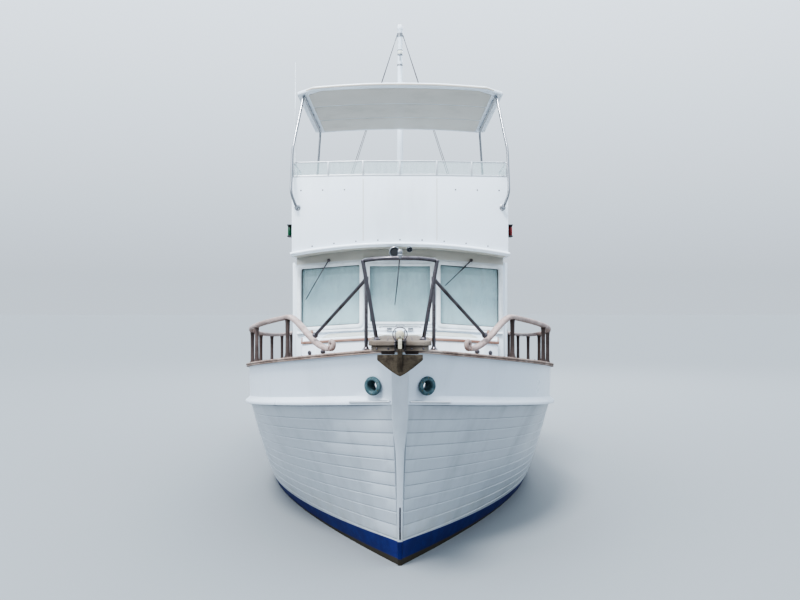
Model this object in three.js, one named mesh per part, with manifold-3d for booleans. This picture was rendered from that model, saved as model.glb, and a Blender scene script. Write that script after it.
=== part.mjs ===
// A trawler-style cabin cruiser afloat, built as a scene graph of separate named solids.
// Millimetres, +Z up, bow towards -Y, port side towards +X. The origin is on the
// waterline, on the centreline, amidships.
import * as THREE from "three";
import { mergeVertices } from "three/addons/utils/BufferGeometryUtils.js";
import Module from "manifold-3d";

const wasm = await Module();
wasm.setup();

// Driving dimensions of the hull
const seatGap = 0.3; // the gap that touching pieces keep
const stemTopY = -5600; // the stem's face at the height of the cap rail
const stemTopZ = 2030;
const stemRake = 0.3; // run forward for each unit of height
const transomY = 5480; // the transom at the waterline
const transomRake = 0.08;
const draft = 1220;
const keelHalf = 60;
const keelEndY = 4020; // the deadwood's end, where the propeller's opening starts
const deckThick = 30;
const deckCamber = 70;
const capThick = 38;
const capHalf = 68;
const guardProud = 50;

// Level lines of the hull from the keel up. bow, mid and stern are heights, stemY where the
// line starts, half its greatest half-breadth, full where along it the bow's fullness is
// reached, power how blunt the bow is, stemHalf the half width at the stem, and tail the
// share of half that is left at the transom.
const hullLevels = [
  { bow: -640, mid: -740, stern: -210, stemY: -4480, half: 70, full: 0.5, power: 2, stemHalf: 15, tail: 0.9 },
  { bow: -480, mid: -520, stern: -160, stemY: -4700, half: 1150, full: 0.55, power: 1.5, stemHalf: 17, tail: 0.9 },
  { bow: -250, mid: -240, stern: -60, stemY: -4880, half: 1690, full: 0.52, power: 1.5, stemHalf: 19, tail: 0.93 },
  { bow: 0, mid: 0, stern: 60, stemY: -4991, half: 1830, full: 0.5, power: 1.6, stemHalf: 22, tail: 0.93 },
  { bow: 500, mid: 330, stern: 430, stemY: -5141, half: 1865, full: 0.48, power: 1.9, stemHalf: 34, tail: 0.92 },
  { bow: 1040, mid: 720, stern: 800, stemY: -5303, half: 1885, full: 0.455, power: 2.3, stemHalf: 52, tail: 0.91 },
  { bow: 1520, mid: 1085, stern: 1165, stemY: -5447, half: 1895, full: 0.43, power: 2.75, stemHalf: 70, tail: 0.9 },
];
const guardFoot = hullLevels[hullLevels.length - 1];
const capLevel = { ...guardFoot, bow: 2030, mid: 1545, stern: 1600, stemY: -5592, half: 1900, stemHalf: 71 };
const stationShares = [0, 0.025, 0.055, 0.09, 0.135, 0.19, 0.255, 0.33, 0.42, 0.52, 0.63, 0.74, 0.85, 0.93, 1];

// Driving dimensions of what stands on the deck. Heights are above the waterline.
const house = {
  halfFoot: 1320, halfTop: 1320, footZ: 1000, topZ: 3200, frontY: -1960, frontTopY: -1850,
  sweep: 0.216, centreHalf: 450, aftY: 1640, aftTopY: 1600, wall: 40, frontCutY: -1600, aftCutY: 1540,
};
const roof = { edgeZ: 2985, camber: 115, half: 1350, thick: 55, frontY: -2260, cornerY: -2120, aftY: 1700 };
const coaming = {
  topZ: 3960, sideZ: 3640, frontY: -2215, cornerY: -2095, half: 1335, centreHalf: 450,
  stepY: -700, slopeY: -480, aftY: 1000, wall: 40,
};
const windows = { sillZ: 2155, headZ: 2912, droop: 0.6 };
const frontWindows = [
  { lowX: -1268, highX: -500 },
  { lowX: -408, highX: 408 },
  { lowX: 500, highX: 1268 },
];
const sideWindows = [
  { lowY: -790, highY: -60 },
  { lowY: 60, highY: 760 },
  { lowY: 880, highY: 1480 },
];
const sideGlass = { sillZ: 2150, headZ: 2780 };
const door = {
  frontY: -1560, wide: 640, sillZ: 1330, topZ: 2890, thick: 34, clear: 8, lap: 40, pane: 6,
  windowInset: 100, windowSillZ: 2150, windowHeadZ: 2780,
};
const foreTrunk = { frontY: -3500, aftY: -1700, halfFront: 1110, halfAft: 1270, topZ: 1985, camber: 75 };
const aftTrunk = { frontY: 1500, aftY: 4150, halfFront: 1230, halfAft: 1130, topZ: 1960, camber: 75 };
const hatch = { half: 290, long: 620, wall: 35, rise: 30, thick: 34, lap: 18, wellZ: 1500 };
const foreHatchY = -3000; // the hinge's edge
const aftHatchY = 2750;

const handrail = { rise: 405, footShare: 0.058, fullShare: 0.12, endShare: 0.925, postRadius: 23 };
const postShares = [0.12, 0.215, 0.31, 0.405, 0.5, 0.595, 0.69, 0.785, 0.88];
const tube = 16; // radius of the stainless tubes

const platform = {
  frontY: -6200, aftY: -4950, half: 252, lowZ: 2031, topZ: 2112, slotEndY: -5700,
  blockHalf: 150, blockLowZ: 2000, blockAftY: -5720, legHalf: 60,
};
const roller = { y: -6190, z: 2080, radius: 36, cheekIn: 34, cheekOut: 42 };
const hawse = { x: 270, y: -5395, z: 1680, hole: 46, ring: 86, outX: 0.63, outY: -0.777 };
const pulpit = {
  postX: 300, postY: -5330, postTopZ: 2625, hoopX: 300, hoopY: -6080, hoopZ: 2755, bowY: -6180,
  legX: 190, legY: -6020, railX: 800, railY: -4780, railZ: 2110,
};

const shaft = { y: 4230, z: -740, tilt: 6, radius: 19 };
const propeller = { radius: 270, hub: 46, hubLong: 130, blades: 3 };
const rudder = { axisY: 4760, topZ: -380, lowZ: -1135, foreY: 4650, aftY: 5230, half: 24, stock: 30, pin: 18 };
const shoe = { topZ: -1150, aftY: 4850, half: 42 };

const mast = { y: 1250, topZ: 6800, footRadius: 55, headRadius: 38, sides: 16 };
const boom = { z: 4205, endY: 4350, endZ: 4640, radius: 42, ringInner: 56, ringOuter: 82, ringHigh: 90 };
const hardTop = { edgeZ: 5030, camber: 60, half: 1300, thick: 50, frontY: -2080, aftY: 800 };
const wheelPlace = { x: -480, y: -1600, z: 3840, stand: 120, radius: 190, rim: 14 };
const antenna = { x: -1385, y: -1250, z: 3200, long: 2400, radius: 11 };

const finishes = {
  gelcoat: { color: 0xdfe3e8, roughness: 0.3, metalness: 0 },
  teak: { color: 0x9a8273, roughness: 0.75, metalness: 0 },
  stainless: { color: 0x8c8f94, roughness: 0.3, metalness: 1 },
  bronze: { color: 0x6a6242, roughness: 0.5, metalness: 1 },
  galvanised: { color: 0x6b6556, roughness: 0.7, metalness: 0.8 },
  glass: { color: 0xa9bfc4, roughness: 0.08, metalness: 0 },
  vinyl: { color: 0xe4e2da, roughness: 0.6, metalness: 0 },
  portLight: { color: 0xa01414, roughness: 0.3, metalness: 0 },
  starboardLight: { color: 0x10783c, roughness: 0.3, metalness: 0 },
};

const boat = new THREE.Group();

// A closed three.js geometry as a solid that can be joined and cut. Its faces are turned
// round first if they point inwards.
function solidOf(geometry) {
  const bare = geometry.clone();
  bare.deleteAttribute("normal");
  bare.deleteAttribute("uv");
  const merged = mergeVertices(bare, 1e-3);
  const positions = merged.attributes.position.array;
  const made = (triVerts) => new wasm.Manifold(
    new wasm.Mesh({ numProp: 3, vertProperties: positions, triVerts }),
  );
  const solid = made(new Uint32Array(merged.index.array));
  return solid.volume() > 0 ? solid : made(new Uint32Array(merged.index.array).reverse());
}

// A finished solid goes into the scene graph as one named mesh
function place(name, solid, finish) {
  const made = solid.getMesh();
  const geometry = new THREE.BufferGeometry();
  const positions = new Float32Array(made.vertProperties);
  geometry.setAttribute("position", new THREE.BufferAttribute(positions, 3));
  geometry.setIndex(new THREE.BufferAttribute(new Uint32Array(made.triVerts), 1));
  geometry.computeVertexNormals();
  const mesh = new THREE.Mesh(geometry, new THREE.MeshStandardMaterial(finishes[finish]));
  mesh.name = name;
  boat.add(mesh);
}

function placeBothSides(name, portSolid, finish) {
  place(`${name}_port`, portSolid, finish);
  place(`${name}_starboard`, portSolid.mirror([1, 0, 0]), finish);
}

function joined(solids) {
  return solids.reduce((sum, next) => sum.add(next));
}

function withMirror(solid) {
  return solid.add(solid.mirror([1, 0, 0]));
}

function geometryOf(vertices, faces) {
  const geometry = new THREE.BufferGeometry();
  geometry.setAttribute("position", new THREE.BufferAttribute(new Float32Array(vertices), 3));
  geometry.setIndex(faces);
  return geometry;
}

// The side faces between closed loops of points that all have the same number of points
function sideFaces(loops) {
  const count = loops[0].length;
  const faces = [];
  for (let ring = 0; ring + 1 < loops.length; ring++) {
    for (let k = 0; k < count; k++) {
      const a = ring * count + k;
      const b = ring * count + ((k + 1) % count);
      faces.push(a, b, b + count, a, b + count, a + count);
    }
  }
  return faces;
}

// A loft whose ends close on their own centre points
function loft(loops) {
  const count = loops[0].length;
  const middle = (loop) => [0, 1, 2].map((axis) => loop.reduce((sum, p) => sum + p[axis], 0) / count);
  const ends = [middle(loops[0]), middle(loops[loops.length - 1])];
  const first = loops.length * count;
  const faces = sideFaces(loops);
  for (let k = 0; k < count; k++) {
    const next = (k + 1) % count;
    faces.push(first, next, k, first + 1, first - count + k, first - count + next);
  }
  return solidOf(geometryOf([...loops, ends].flat(2), faces));
}

// A loft of loops that mirror across the centreline, its ends closed by level bands
function mirroredLoft(loops) {
  const count = loops[0].length;
  const faces = sideFaces(loops);
  for (const [start, isFirst] of [[0, true], [(loops.length - 1) * count, false]]) {
    for (let k = 0; k < (count - 1) / 2; k++) {
      const [a, b] = [start + k, start + k + 1];
      const [c, d] = [start + count - 2 - k, start + count - 1 - k];
      const band = b === c ? [a, d, b] : [a, d, c, a, c, b];
      faces.push(...(isFirst ? band : band.reverse()));
    }
  }
  return solidOf(geometryOf(loops.flat(2), faces));
}

function box(lowX, highX, lowY, highY, lowZ, highZ) {
  const geometry = new THREE.BoxGeometry(highX - lowX, highY - lowY, highZ - lowZ);
  geometry.translate((lowX + highX) / 2, (lowY + highY) / 2, (lowZ + highZ) / 2);
  return solidOf(geometry);
}

function ball(centre, radius, sides = 10) {
  const geometry = new THREE.SphereGeometry(radius, sides, Math.ceil(sides / 2));
  geometry.translate(...centre);
  return solidOf(geometry);
}

// A geometry made round the Y axis is laid along a direction from a point
function laid(geometry, from, along) {
  const direction = new THREE.Vector3(...along).normalize();
  const turn = new THREE.Quaternion().setFromUnitVectors(new THREE.Vector3(0, 1, 0), direction);
  geometry.applyQuaternion(turn);
  geometry.translate(...from);
  return solidOf(geometry);
}

// A round bar between two points
function bar(from, to, radius, sides = 8, endRadius = radius) {
  const along = to.map((value, axis) => value - from[axis]);
  const long = Math.hypot(...along);
  const geometry = new THREE.CylinderGeometry(endRadius, radius, long, sides);
  geometry.translate(0, long / 2, 0);
  return laid(geometry, from, along);
}

// The run of points with each corner rounded by a short bend
function rounded(points, bend) {
  const vectors = points.map((point) => new THREE.Vector3(...point));
  const route = [vectors[0]];
  for (let k = 1; k + 1 < vectors.length; k++) {
    const [before, corner, after] = [vectors[k - 1], vectors[k], vectors[k + 1]];
    const reach = (end) => {
      const way = end.clone().sub(corner);
      return corner.clone().addScaledVector(way.clone().normalize(), Math.min(bend, way.length() * 0.45));
    };
    route.push(...new THREE.QuadraticBezierCurve3(reach(before), corner, reach(after)).getPoints(3));
  }
  return [...route, vectors[vectors.length - 1]];
}

// A bent tube whose section is carried along the route without twisting
function pipe(points, radius, sides = 8, bend = 70) {
  const route = rounded(points, bend);
  const tangentAt = (k) =>
    route[Math.min(k + 1, route.length - 1)].clone().sub(route[Math.max(k - 1, 0)]).normalize();
  const start = tangentAt(0);
  const helper = Math.abs(start.z) > 0.9 ? new THREE.Vector3(1, 0, 0) : new THREE.Vector3(0, 0, 1);
  let side = new THREE.Vector3().crossVectors(start, helper).normalize();
  const loops = route.map((centre, k) => {
    const along = tangentAt(k);
    side = side.addScaledVector(along, -side.dot(along)).normalize();
    const up = new THREE.Vector3().crossVectors(along, side);
    return Array.from({ length: sides }, (_, n) => {
      const turn = (n * 2 * Math.PI) / sides;
      const point = centre.clone().addScaledVector(side, radius * Math.cos(turn));
      return point.addScaledVector(up, radius * Math.sin(turn)).toArray();
    });
  });
  return loft(loops);
}

// A ring whose section is a closed run of [radius, height] points
function ring(section, from, along, sides = 16) {
  const closed = [...section, section[0]].map(([radius, height]) => new THREE.Vector2(radius, height));
  return laid(new THREE.LatheGeometry(closed, sides), from, along);
}

// A flat outline pushed from low to high along an axis. Its pairs are [y, z] along x,
// [x, z] along y and [x, y] along z.
function slab(outline, axis, low, high) {
  const shape = new THREE.Shape(outline.map(([a, b]) => new THREE.Vector2(a, b)));
  const geometry = new THREE.ExtrudeGeometry(shape, { depth: high - low, bevelEnabled: false });
  geometry.translate(0, 0, low);
  const turn = new THREE.Matrix4();
  if (axis === "x") turn.set(0, 0, 1, 0, 1, 0, 0, 0, 0, 1, 0, 0, 0, 0, 0, 1);
  if (axis === "y") turn.set(1, 0, 0, 0, 0, 0, 1, 0, 0, 1, 0, 0, 0, 0, 0, 1);
  geometry.applyMatrix4(turn);
  return solidOf(geometry);
}

// A section of [side, up] pairs swept along points
function sweep(points, section) {
  const loops = points.map((point, k) => {
    const before = new THREE.Vector3(...points[Math.max(0, k - 1)]);
    const after = new THREE.Vector3(...points[Math.min(points.length - 1, k + 1)]);
    const along = after.sub(before).normalize();
    const side = new THREE.Vector3().crossVectors(along, new THREE.Vector3(0, 0, 1)).normalize();
    const up = new THREE.Vector3().crossVectors(side, along);
    return section.map(([s, u]) =>
      new THREE.Vector3(...point).addScaledVector(side, s).addScaledVector(up, u).toArray(),
    );
  });
  return loft(loops);
}

// A strip with a cambered top and underside, pushed along y
function camberedSlab(lowAt, highAt, half, lowY, highY, steps = 8) {
  const places = Array.from({ length: steps + 1 }, (_, k) => half * ((2 * k) / steps - 1));
  const under = places.map((x) => [x, lowAt(x)]);
  const over = places.map((x) => [x, highAt(x)]).reverse();
  return slab([...under, ...over], "y", lowY, highY);
}

// The parabola through a bow, a midships and a stern value
function parabola({ bow, mid, stern }, share) {
  return bow * (1 - share) * (1 - 2 * share) + mid * 4 * share * (1 - share) + stern * share * (2 * share - 1);
}

// The port point of a level line at a share of its length
function levelPoint(level, share) {
  const { half, full, power, stemHalf, tail, stemY } = level;
  const shape = share < full
    ? 1 - (1 - share / full) ** power
    : 1 - (1 - tail) * ((share - full) / (1 - full)) ** 2;
  const z = parabola(level, share);
  const aft = transomY + transomRake * z;
  return [stemHalf + (half - stemHalf) * shape, stemY + (aft - stemY) * share, z];
}

// Points across half a deck from its edge to the centreline, on a crown of two chords
function deckAcross(share, inset, raise) {
  const [edge, y, z] = levelPoint(guardFoot, share);
  const crown = deckCamber * Math.min(1, edge / 600);
  const chord = (x) => (x > edge / 2 ? (1.5 * crown * (edge - x)) / edge : crown * (1 - x / (2 * edge)));
  return [edge - inset, edge / 2, 0].map((x) => [x, y, z + raise + chord(x)]);
}

function mirroredLoop(portPoints) {
  const starboard = portPoints.slice(0, -1).map(([x, y, z]) => [-x, y, z]);
  return [...portPoints, ...starboard.reverse()];
}

function hullShell() {
  return mirroredLoft(
    stationShares.map((share) => {
      const below = hullLevels.slice(0, -1).map((level) => levelPoint(level, share));
      return mirroredLoop([...below, ...deckAcross(share, 0, 0)]);
    }),
  );
}

// A block whose top is the walking deck, for the deck itself and for cutting what stands on it
function deckBlock(raise, depth) {
  const inset = 71;
  return mirroredLoft(
    stationShares.slice(1).map((share) => {
      const across = deckAcross(share, inset, deckThick + raise);
      const [x, y, z] = across[0];
      return mirroredLoop([[x, y - transomRake * depth, z - depth], ...across]);
    }),
  );
}

const shell = hullShell();
const clearance = [0, seatGap, seatGap];
const shellCutter = withMirror(shell.translate(clearance));
const deckCutter = withMirror(deckBlock(seatGap, 500).translate([0, seatGap, 0]));

function onDeck(solid) {
  return solid.subtract(deckCutter);
}

function shaftPoint(along) {
  const tilt = THREE.MathUtils.degToRad(shaft.tilt);
  return [0, shaft.y + along * Math.cos(tilt), shaft.z - along * Math.sin(tilt)];
}

function hullSolid() {
  const profile = [
    [-4540, -500], [-4400, -760], [-4000, -950], [-3300, -1050], [keelEndY - 80, -draft],
    [shoe.aftY, -draft], [shoe.aftY, shoe.topZ], [keelEndY, shoe.topZ], [keelEndY, -450],
    [3700, -300], [-3800, -300],
  ];
  const plan = [
    [18, -4600], [keelHalf, -3700], [keelHalf, keelEndY - 200], [shoe.half, keelEndY + 60],
    [shoe.half, 4900], [-shoe.half, 4900], [-shoe.half, keelEndY + 60],
    [-keelHalf, keelEndY - 200], [-keelHalf, -3700], [-18, -4600],
  ];
  const keel = slab(profile, "x", -keelHalf, keelHalf).intersect(slab(plan, "z", -draft, 0));
  const sternTube = bar(shaftPoint(-1500), shaftPoint(0), shaft.radius + 1, 16);
  const rudderTube = bar([0, rudder.axisY, -500], [0, rudder.axisY, 200], rudder.stock + 1.2, 16);
  const heelSocket = bar([0, rudder.axisY, shoe.topZ - 40], [0, rudder.axisY, 0], rudder.pin + 1.3, 12);
  return joined([shell, keel, stemSolid()]).subtract(sternTube).subtract(rudderTube).subtract(heelSocket);
}

// The flat-faced stem stands proud of the planking and narrows downwards
function stemSolid() {
  const proud = 32;
  // z is the height and half the half width there
  const levels = [
    { z: 1985, half: 70 }, { z: 1400, half: 70 }, { z: 1150, half: 52 }, { z: 700, half: 30 },
    { z: 0, half: 21 }, { z: -250, half: 18 },
  ];
  return loft(
    levels.map(({ z, half }) => {
      const forefoot = z < 0 ? -z * 0.14 : 0;
      const face = stemTopY + stemRake * (stemTopZ - z) + forefoot - proud;
      const back = face + proud + 12;
      return [[-half, back, z], [half, back, z], [half * 0.8, face, z], [-half * 0.8, face, z]];
    }),
  );
}

// A round bar through the port bulwark where the mooring hole is, square to the planking
function hawseBar(radius, from, to, sides = 16) {
  const at = (along) => [hawse.x + hawse.outX * along, hawse.y + hawse.outY * along, hawse.z];
  return bar(at(from), at(to), radius, sides);
}

// The ring's back follows the bulwark that it is bolted to
function hawseRing(bulwark) {
  const seat = bulwark.translate([hawse.outX * seatGap, hawse.outY * seatGap, 0]);
  const blank = hawseBar(hawse.ring, -62, -18).subtract(seat);
  return blank.subtract(hawseBar(hawse.hole, -300, 400));
}

// A bulwark with the moulded guard along its foot
function bulwarkSolid() {
  const loops = stationShares.map((share) => {
    const [foot, y, z] = levelPoint(guardFoot, share);
    const [top, topY, topZ] = levelPoint(capLevel, share);
    const flare = Math.min(1, (foot - 60) / 300);
    const proud = guardProud * flare;
    return [
      [foot - 70, y, z + seatGap], [foot + 4, y, z + seatGap], [foot + proud, y, z + 16],
      [foot + proud - 4, y, z + 46], [foot + 10, y, z + 84], [top, topY, topZ - capThick],
      [top - 62, topY, topZ - capThick],
    ];
  });
  const stemSlot = box(-3000, 70.4, -6500, -5000, 0, 3000);
  const piece = loft(loops).subtract(shellCutter).subtract(sideCap(200, 0));
  return piece.subtract(stemSlot).subtract(hawseBar(hawse.hole, -300, 400));
}

function transomPanel() {
  const [half] = levelPoint(guardFoot, 1);
  const inner = half - 71;
  const thick = 60;
  const [lowZ, topZ] = [1000, capLevel.stern - capThick];
  const plane = (z) => transomY + transomRake * z;
  const outline = [
    [plane(topZ) - thick, topZ], [plane(topZ), topZ], [plane(lowZ), lowZ], [plane(lowZ) - thick, lowZ],
  ];
  const panel = onDeck(slab(outline, "x", -inner, inner)).subtract(shellCutter);
  return panel.subtract(withMirror(sideCap(200, 0)));
}

// The teak cap over a bulwark, with its upper edges eased. Raised, it cuts what it rests on.
function sideCap(raise = 0, gap = seatGap) {
  const points = stationShares.map((share) => {
    const [x, y, z] = levelPoint(capLevel, share);
    return [x - 30, y, z - capThick / 2];
  });
  const under = gap - capThick / 2;
  const over = capThick / 2 + raise;
  const section = [
    [-capHalf, under], [capHalf, under], [capHalf, 8], [capHalf - 12, over], [12 - capHalf, over], [-capHalf, 8],
  ];
  const stemEnd = [10, stemTopY - 50, points[0][2]];
  return sweep([stemEnd, ...points], section).subtract(box(-4000, 0.3, -7000, 7000, 0, 4000));
}

function sternCap() {
  const [half, y, z] = levelPoint(capLevel, 1);
  const inner = half - 30 - capHalf - 2;
  return box(-inner, inner, y - 105, y + 25, z - capThick + seatGap, z);
}

// Anchor gear and pulpit

function anchorPlatform() {
  const { frontY, aftY, half, lowZ, topZ, slotEndY, blockHalf, blockLowZ, blockAftY, legHalf } = platform;
  const slotHalf = roller.cheekOut + seatGap;
  const plan = [
    [-half, frontY + 60], [-half + 60, frontY], [half - 60, frontY], [half, frontY + 60],
    [half, -5400], [160, aftY], [-160, aftY], [-half, -5400],
  ];
  const plank = slab(plan, "z", lowZ, topZ);
  const block = box(-blockHalf, blockHalf, frontY + 40, blockAftY, blockLowZ, lowZ + 5);
  const slot = box(-slotHalf, slotHalf, frontY - 10, slotEndY, blockLowZ - 10, topZ + 10);
  const leg = onDeck(box(-legHalf, legHalf, aftY - 130, aftY - 10, 1300, lowZ + 5));
  const caps = withMirror(sideCap().translate([0, 0, seatGap]));
  return plank.add(block).subtract(slot).add(leg).subtract(caps);
}

function bowRoller() {
  const { y, z, radius, cheekIn, cheekOut } = roller;
  const cheek = slab(
    [[-6280, 2030], [-6290, 2110], [-6220, 2180], [-5900, 2190], [-5860, 2113], [-5900, 2050]],
    "x", cheekIn, cheekOut,
  );
  const pin = bar([-cheekOut, y, z], [cheekOut, y, z], 9);
  const wheel = bar([-30, y, z], [30, y, z], radius, 16);
  const floor = box(-cheekOut, cheekOut, -5910, -5880, 2055, 2075);
  return joined([withMirror(cheek), pin, wheel, floor]);
}

// A plough anchor: the shank lies over the roller and the share hangs below
function ploughAnchor() {
  const rest = roller.z + roller.radius + seatGap;
  const shank = slab([[-6255, rest], [-6235, 2180], [-5640, 2165], [-5640, rest]], "x", -16, 16);
  const drop = slab(
    [[-6330, 1930], [-6345, 2130], [-6230, 2178], [-6232, 2126], [-6298, 2090], [-6296, 1930]], "x", -22, 22,
  );
  const head = bar([0, -6352, 2165], [0, -6298, 2165], 44, 12);
  const collar = bar([0, -6335, 2165], [0, -6318, 2165], 60, 16);
  const share = loft([
    [[-40, -6330, 2001], [40, -6330, 2001], [40, -6290, 2016], [-40, -6290, 2016]],
    [[-12, -6360, 1842], [12, -6360, 1842], [12, -6345, 1845], [-12, -6345, 1845]],
  ]);
  const wing = loft([
    [[0, -6350, 1852], [0, -6335, 1847], [0, -6296, 1996], [0, -6325, 2006]],
    [[150, -6300, 1940], [150, -6292, 1938], [180, -6258, 1996], [180, -6268, 2003]],
  ]);
  return joined([shank, drop, head, collar, share, withMirror(wing)]);
}

function pulpitSolid() {
  const { postX, postY, postTopZ, hoopX, hoopY, hoopZ, bowY, legX, legY, railX, railY, railZ } = pulpit;
  const share = (postY - capLevel.stemY) / (transomY + transomRake * capLevel.stern - capLevel.stemY);
  const capZ = parabola(capLevel, share);
  const rim = [
    [railX, railY, railZ], [postX, postY, postTopZ], [hoopX, hoopY, hoopZ],
    [hoopX * 0.55, bowY, hoopZ + 12], [0, bowY - 20, hoopZ + 16],
  ];
  const side = joined([
    pipe(rim, tube),
    bar([postX, postY, capZ + 5], [postX, postY, postTopZ], tube),
    bar([postX, postY, capZ + 4], [postX, postY, capZ + 12], 36),
    bar([legX, legY, platform.topZ + seatGap], [hoopX, hoopY, hoopZ], tube),
    bar([legX, legY, platform.topZ + seatGap], [legX, legY, platform.topZ + 8], 34),
  ]);
  return withMirror(side).subtract(anchorPlatform().translate([0, 0, seatGap]));
}

// The wooden hand rail stands on posts over the cap and ends in a scroll near the bow
function capCentre(share) {
  const [x, y, z] = levelPoint(capLevel, share);
  return [x - 30, y, z];
}

function railHeight(share) {
  const { footShare, fullShare, rise } = handrail;
  const run = Math.min(1, Math.max(0, (share - footShare) / (fullShare - footShare)));
  return 42 + (rise - 42) * run * run * (3 - 2 * run);
}

const railSection = [[-34, -12], [-34, 12], [-22, 26], [22, 26], [34, 12], [34, -12], [22, -22], [-22, -22]];

function sideRail() {
  const { footShare, endShare, rise, postRadius } = handrail;
  const shares = [
    footShare, 0.07, 0.082, 0.095, 0.108, 0.12, 0.16, 0.21, 0.27, 0.34, 0.42, 0.52, 0.62, 0.72, 0.82, endShare,
  ];
  const points = shares.map((share) => {
    const [x, y, z] = capCentre(share);
    return [x, y, z + railHeight(share)];
  });
  const posts = postShares.map((share) => {
    const [x, y, z] = capCentre(share);
    const foot = bar([x, y, z + 1.2], [x, y, z + 9], 34);
    return bar([x, y, z + 1.2], [x, y, z + rise], postRadius).add(foot);
  });
  const [x, y, z] = capCentre(footShare);
  const scroll = bar([x - 30, y, z + 45], [x + 30, y, z + 45], 41, 12);
  return joined([sweep(points, railSection), ...posts, scroll]).subtract(sideCap().translate([0, 0, seatGap]));
}

function sternRail() {
  const [x, y, z] = capCentre(handrail.endShare);
  const [endX, endY, endZ] = capCentre(1);
  const high = z + handrail.rise;
  const port = [
    [x - 3, y + 8, high], [endX - 4, endY - 330, high], [endX - 22, endY - 150, high],
    [endX - 80, endY - 60, high], [endX - 220, endY - 30, high], [0, endY - 30, high],
  ];
  const starboard = port.slice(0, -1).map(([px, py, pz]) => [-px, py, pz]).reverse();
  const postAt = (px) => bar([px, endY - 40, endZ + 1], [px, endY - 30, high], handrail.postRadius);
  const posts = [0, 420, 840, 1260].flatMap((px) => (px ? [postAt(px), postAt(-px)] : [postAt(px)]));
  return joined([sweep([...port, ...starboard], railSection), ...posts]);
}

// Houses

function housePlan(inset, z) {
  const share = (z - house.footZ) / (house.topZ - house.footZ);
  const mix = (foot, top) => foot + (top - foot) * share;
  const half = mix(house.halfFoot, house.halfTop) - inset;
  const front = mix(house.frontY, house.frontTopY) + inset;
  const aft = mix(house.aftY, house.aftTopY) - inset;
  const centre = house.centreHalf - inset * 0.1;
  const corner = front + house.sweep * (half - centre);
  return [
    [-half, corner], [-centre, front], [centre, front], [half, corner],
    [half, aft], [-half, aft],
  ].map(([x, y]) => [x, y, z]);
}

function houseBlock(inset, lowZ = house.footZ, highZ = house.topZ) {
  return loft([housePlan(inset, lowZ), housePlan(inset, highZ)]);
}

const roofUnder = (x) => roof.edgeZ + roof.camber * (1 - (x / roof.half) ** 2);
const roofCutter = camberedSlab((x) => roofUnder(x) - seatGap, (x) => roofUnder(x) + 900, roof.half, -3000, 3000);
const roofTopCutter = camberedSlab(
  (x) => roofUnder(x) - 400, (x) => roofUnder(x) + roof.thick + seatGap, roof.half, -3000, 3000,
);

function onRoof(solid) {
  return solid.subtract(roofTopCutter);
}

// A window opening whose sill and head droop outwards with the roof
function windowPrism({ lowX, highX }) {
  const droop = (x) => windows.droop * roof.camber * (x / roof.half) ** 2;
  const outline = [
    [lowX, windows.sillZ - droop(lowX)], [highX, windows.sillZ - droop(highX)],
    [highX, windows.headZ - droop(highX)], [lowX, windows.headZ - droop(lowX)],
  ];
  return slab(outline, "y", -2400, -1640);
}

const walls = onDeck(
  houseBlock(0).subtract(houseBlock(house.wall, house.footZ - 50, house.topZ + 50)).subtract(roofCutter),
);

function houseFront() {
  const panel = walls.intersect(box(-2000, 2000, -3000, house.frontCutY, 0, 5000));
  return frontWindows.reduce((left, opening) => left.subtract(windowPrism(opening)), panel);
}

// The port wall's outer face at a height, and a distance out from it
function wallX(z, out) {
  const share = (z - house.footZ) / (house.topZ - house.footZ);
  return house.halfFoot + (house.halfTop - house.halfFoot) * share + out;
}

// A leaning slab parallel to the port wall, between two distances out from its face
function wallSlab(lowY, highY, lowZ, highZ, nearOut, farOut) {
  return slab(
    [
      [wallX(lowZ, nearOut), lowZ], [wallX(lowZ, farOut), lowZ],
      [wallX(highZ, farOut), highZ], [wallX(highZ, nearOut), highZ],
    ],
    "y", lowY, highY,
  );
}

const doorAftY = door.frontY + door.wide;

function houseSide() {
  const { frontY, lap, sillZ, topZ, clear, thick } = door;
  const panel = walls.intersect(box(0, 2000, house.frontCutY + seatGap, house.aftCutY, 0, 5000));
  const doorway = box(1000, 1500, frontY + lap, doorAftY - lap, sillZ + lap, topZ - lap);
  const openings = sideWindows.map(({ lowY, highY }) =>
    box(1000, 1500, lowY, highY, sideGlass.sillZ, sideGlass.headZ),
  );
  const [trackLow, trackHigh] = [frontY - 20, -300];
  const far = clear + thick + 8;
  const headTrack = wallSlab(trackLow, trackHigh, topZ + 1, topZ + 26, -2, far);
  const headLip = wallSlab(trackLow, trackHigh, topZ - 22, topZ + 26, far - 5, far);
  const sill = wallSlab(trackLow, trackHigh, sillZ - 26, sillZ - 0.5, -2, far);
  const pierced = openings.reduce((left, opening) => left.subtract(opening), panel.subtract(doorway));
  return joined([pierced, headTrack, headLip, sill]);
}

function doorSolid() {
  const { frontY, sillZ, topZ, clear, thick, windowInset, windowSillZ, windowHeadZ } = door;
  const leaf = wallSlab(frontY, doorAftY, sillZ, topZ, clear, clear + thick);
  const opening = box(1000, 1500, frontY + windowInset, doorAftY - windowInset, windowSillZ, windowHeadZ);
  const grip = wallSlab(frontY + 30, frontY + 56, 1900, 2080, clear + thick - 2, clear + thick + 22);
  return joined([leaf.subtract(opening), grip, doorGlass()]);
}

function doorGlass() {
  const edge = door.windowInset - 2;
  const middle = door.clear + door.thick / 2;
  return wallSlab(
    door.frontY + edge, doorAftY - edge, door.windowSillZ - 2, door.windowHeadZ + 2,
    middle - door.pane / 2, middle + door.pane / 2,
  );
}

function houseAft() {
  const panel = walls.intersect(box(-2000, 2000, house.aftCutY + seatGap, 3000, 0, 5000));
  const opening = box(140, 1080, 1400, 1800, 2230, 2780);
  return panel.subtract(withMirror(opening));
}

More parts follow.
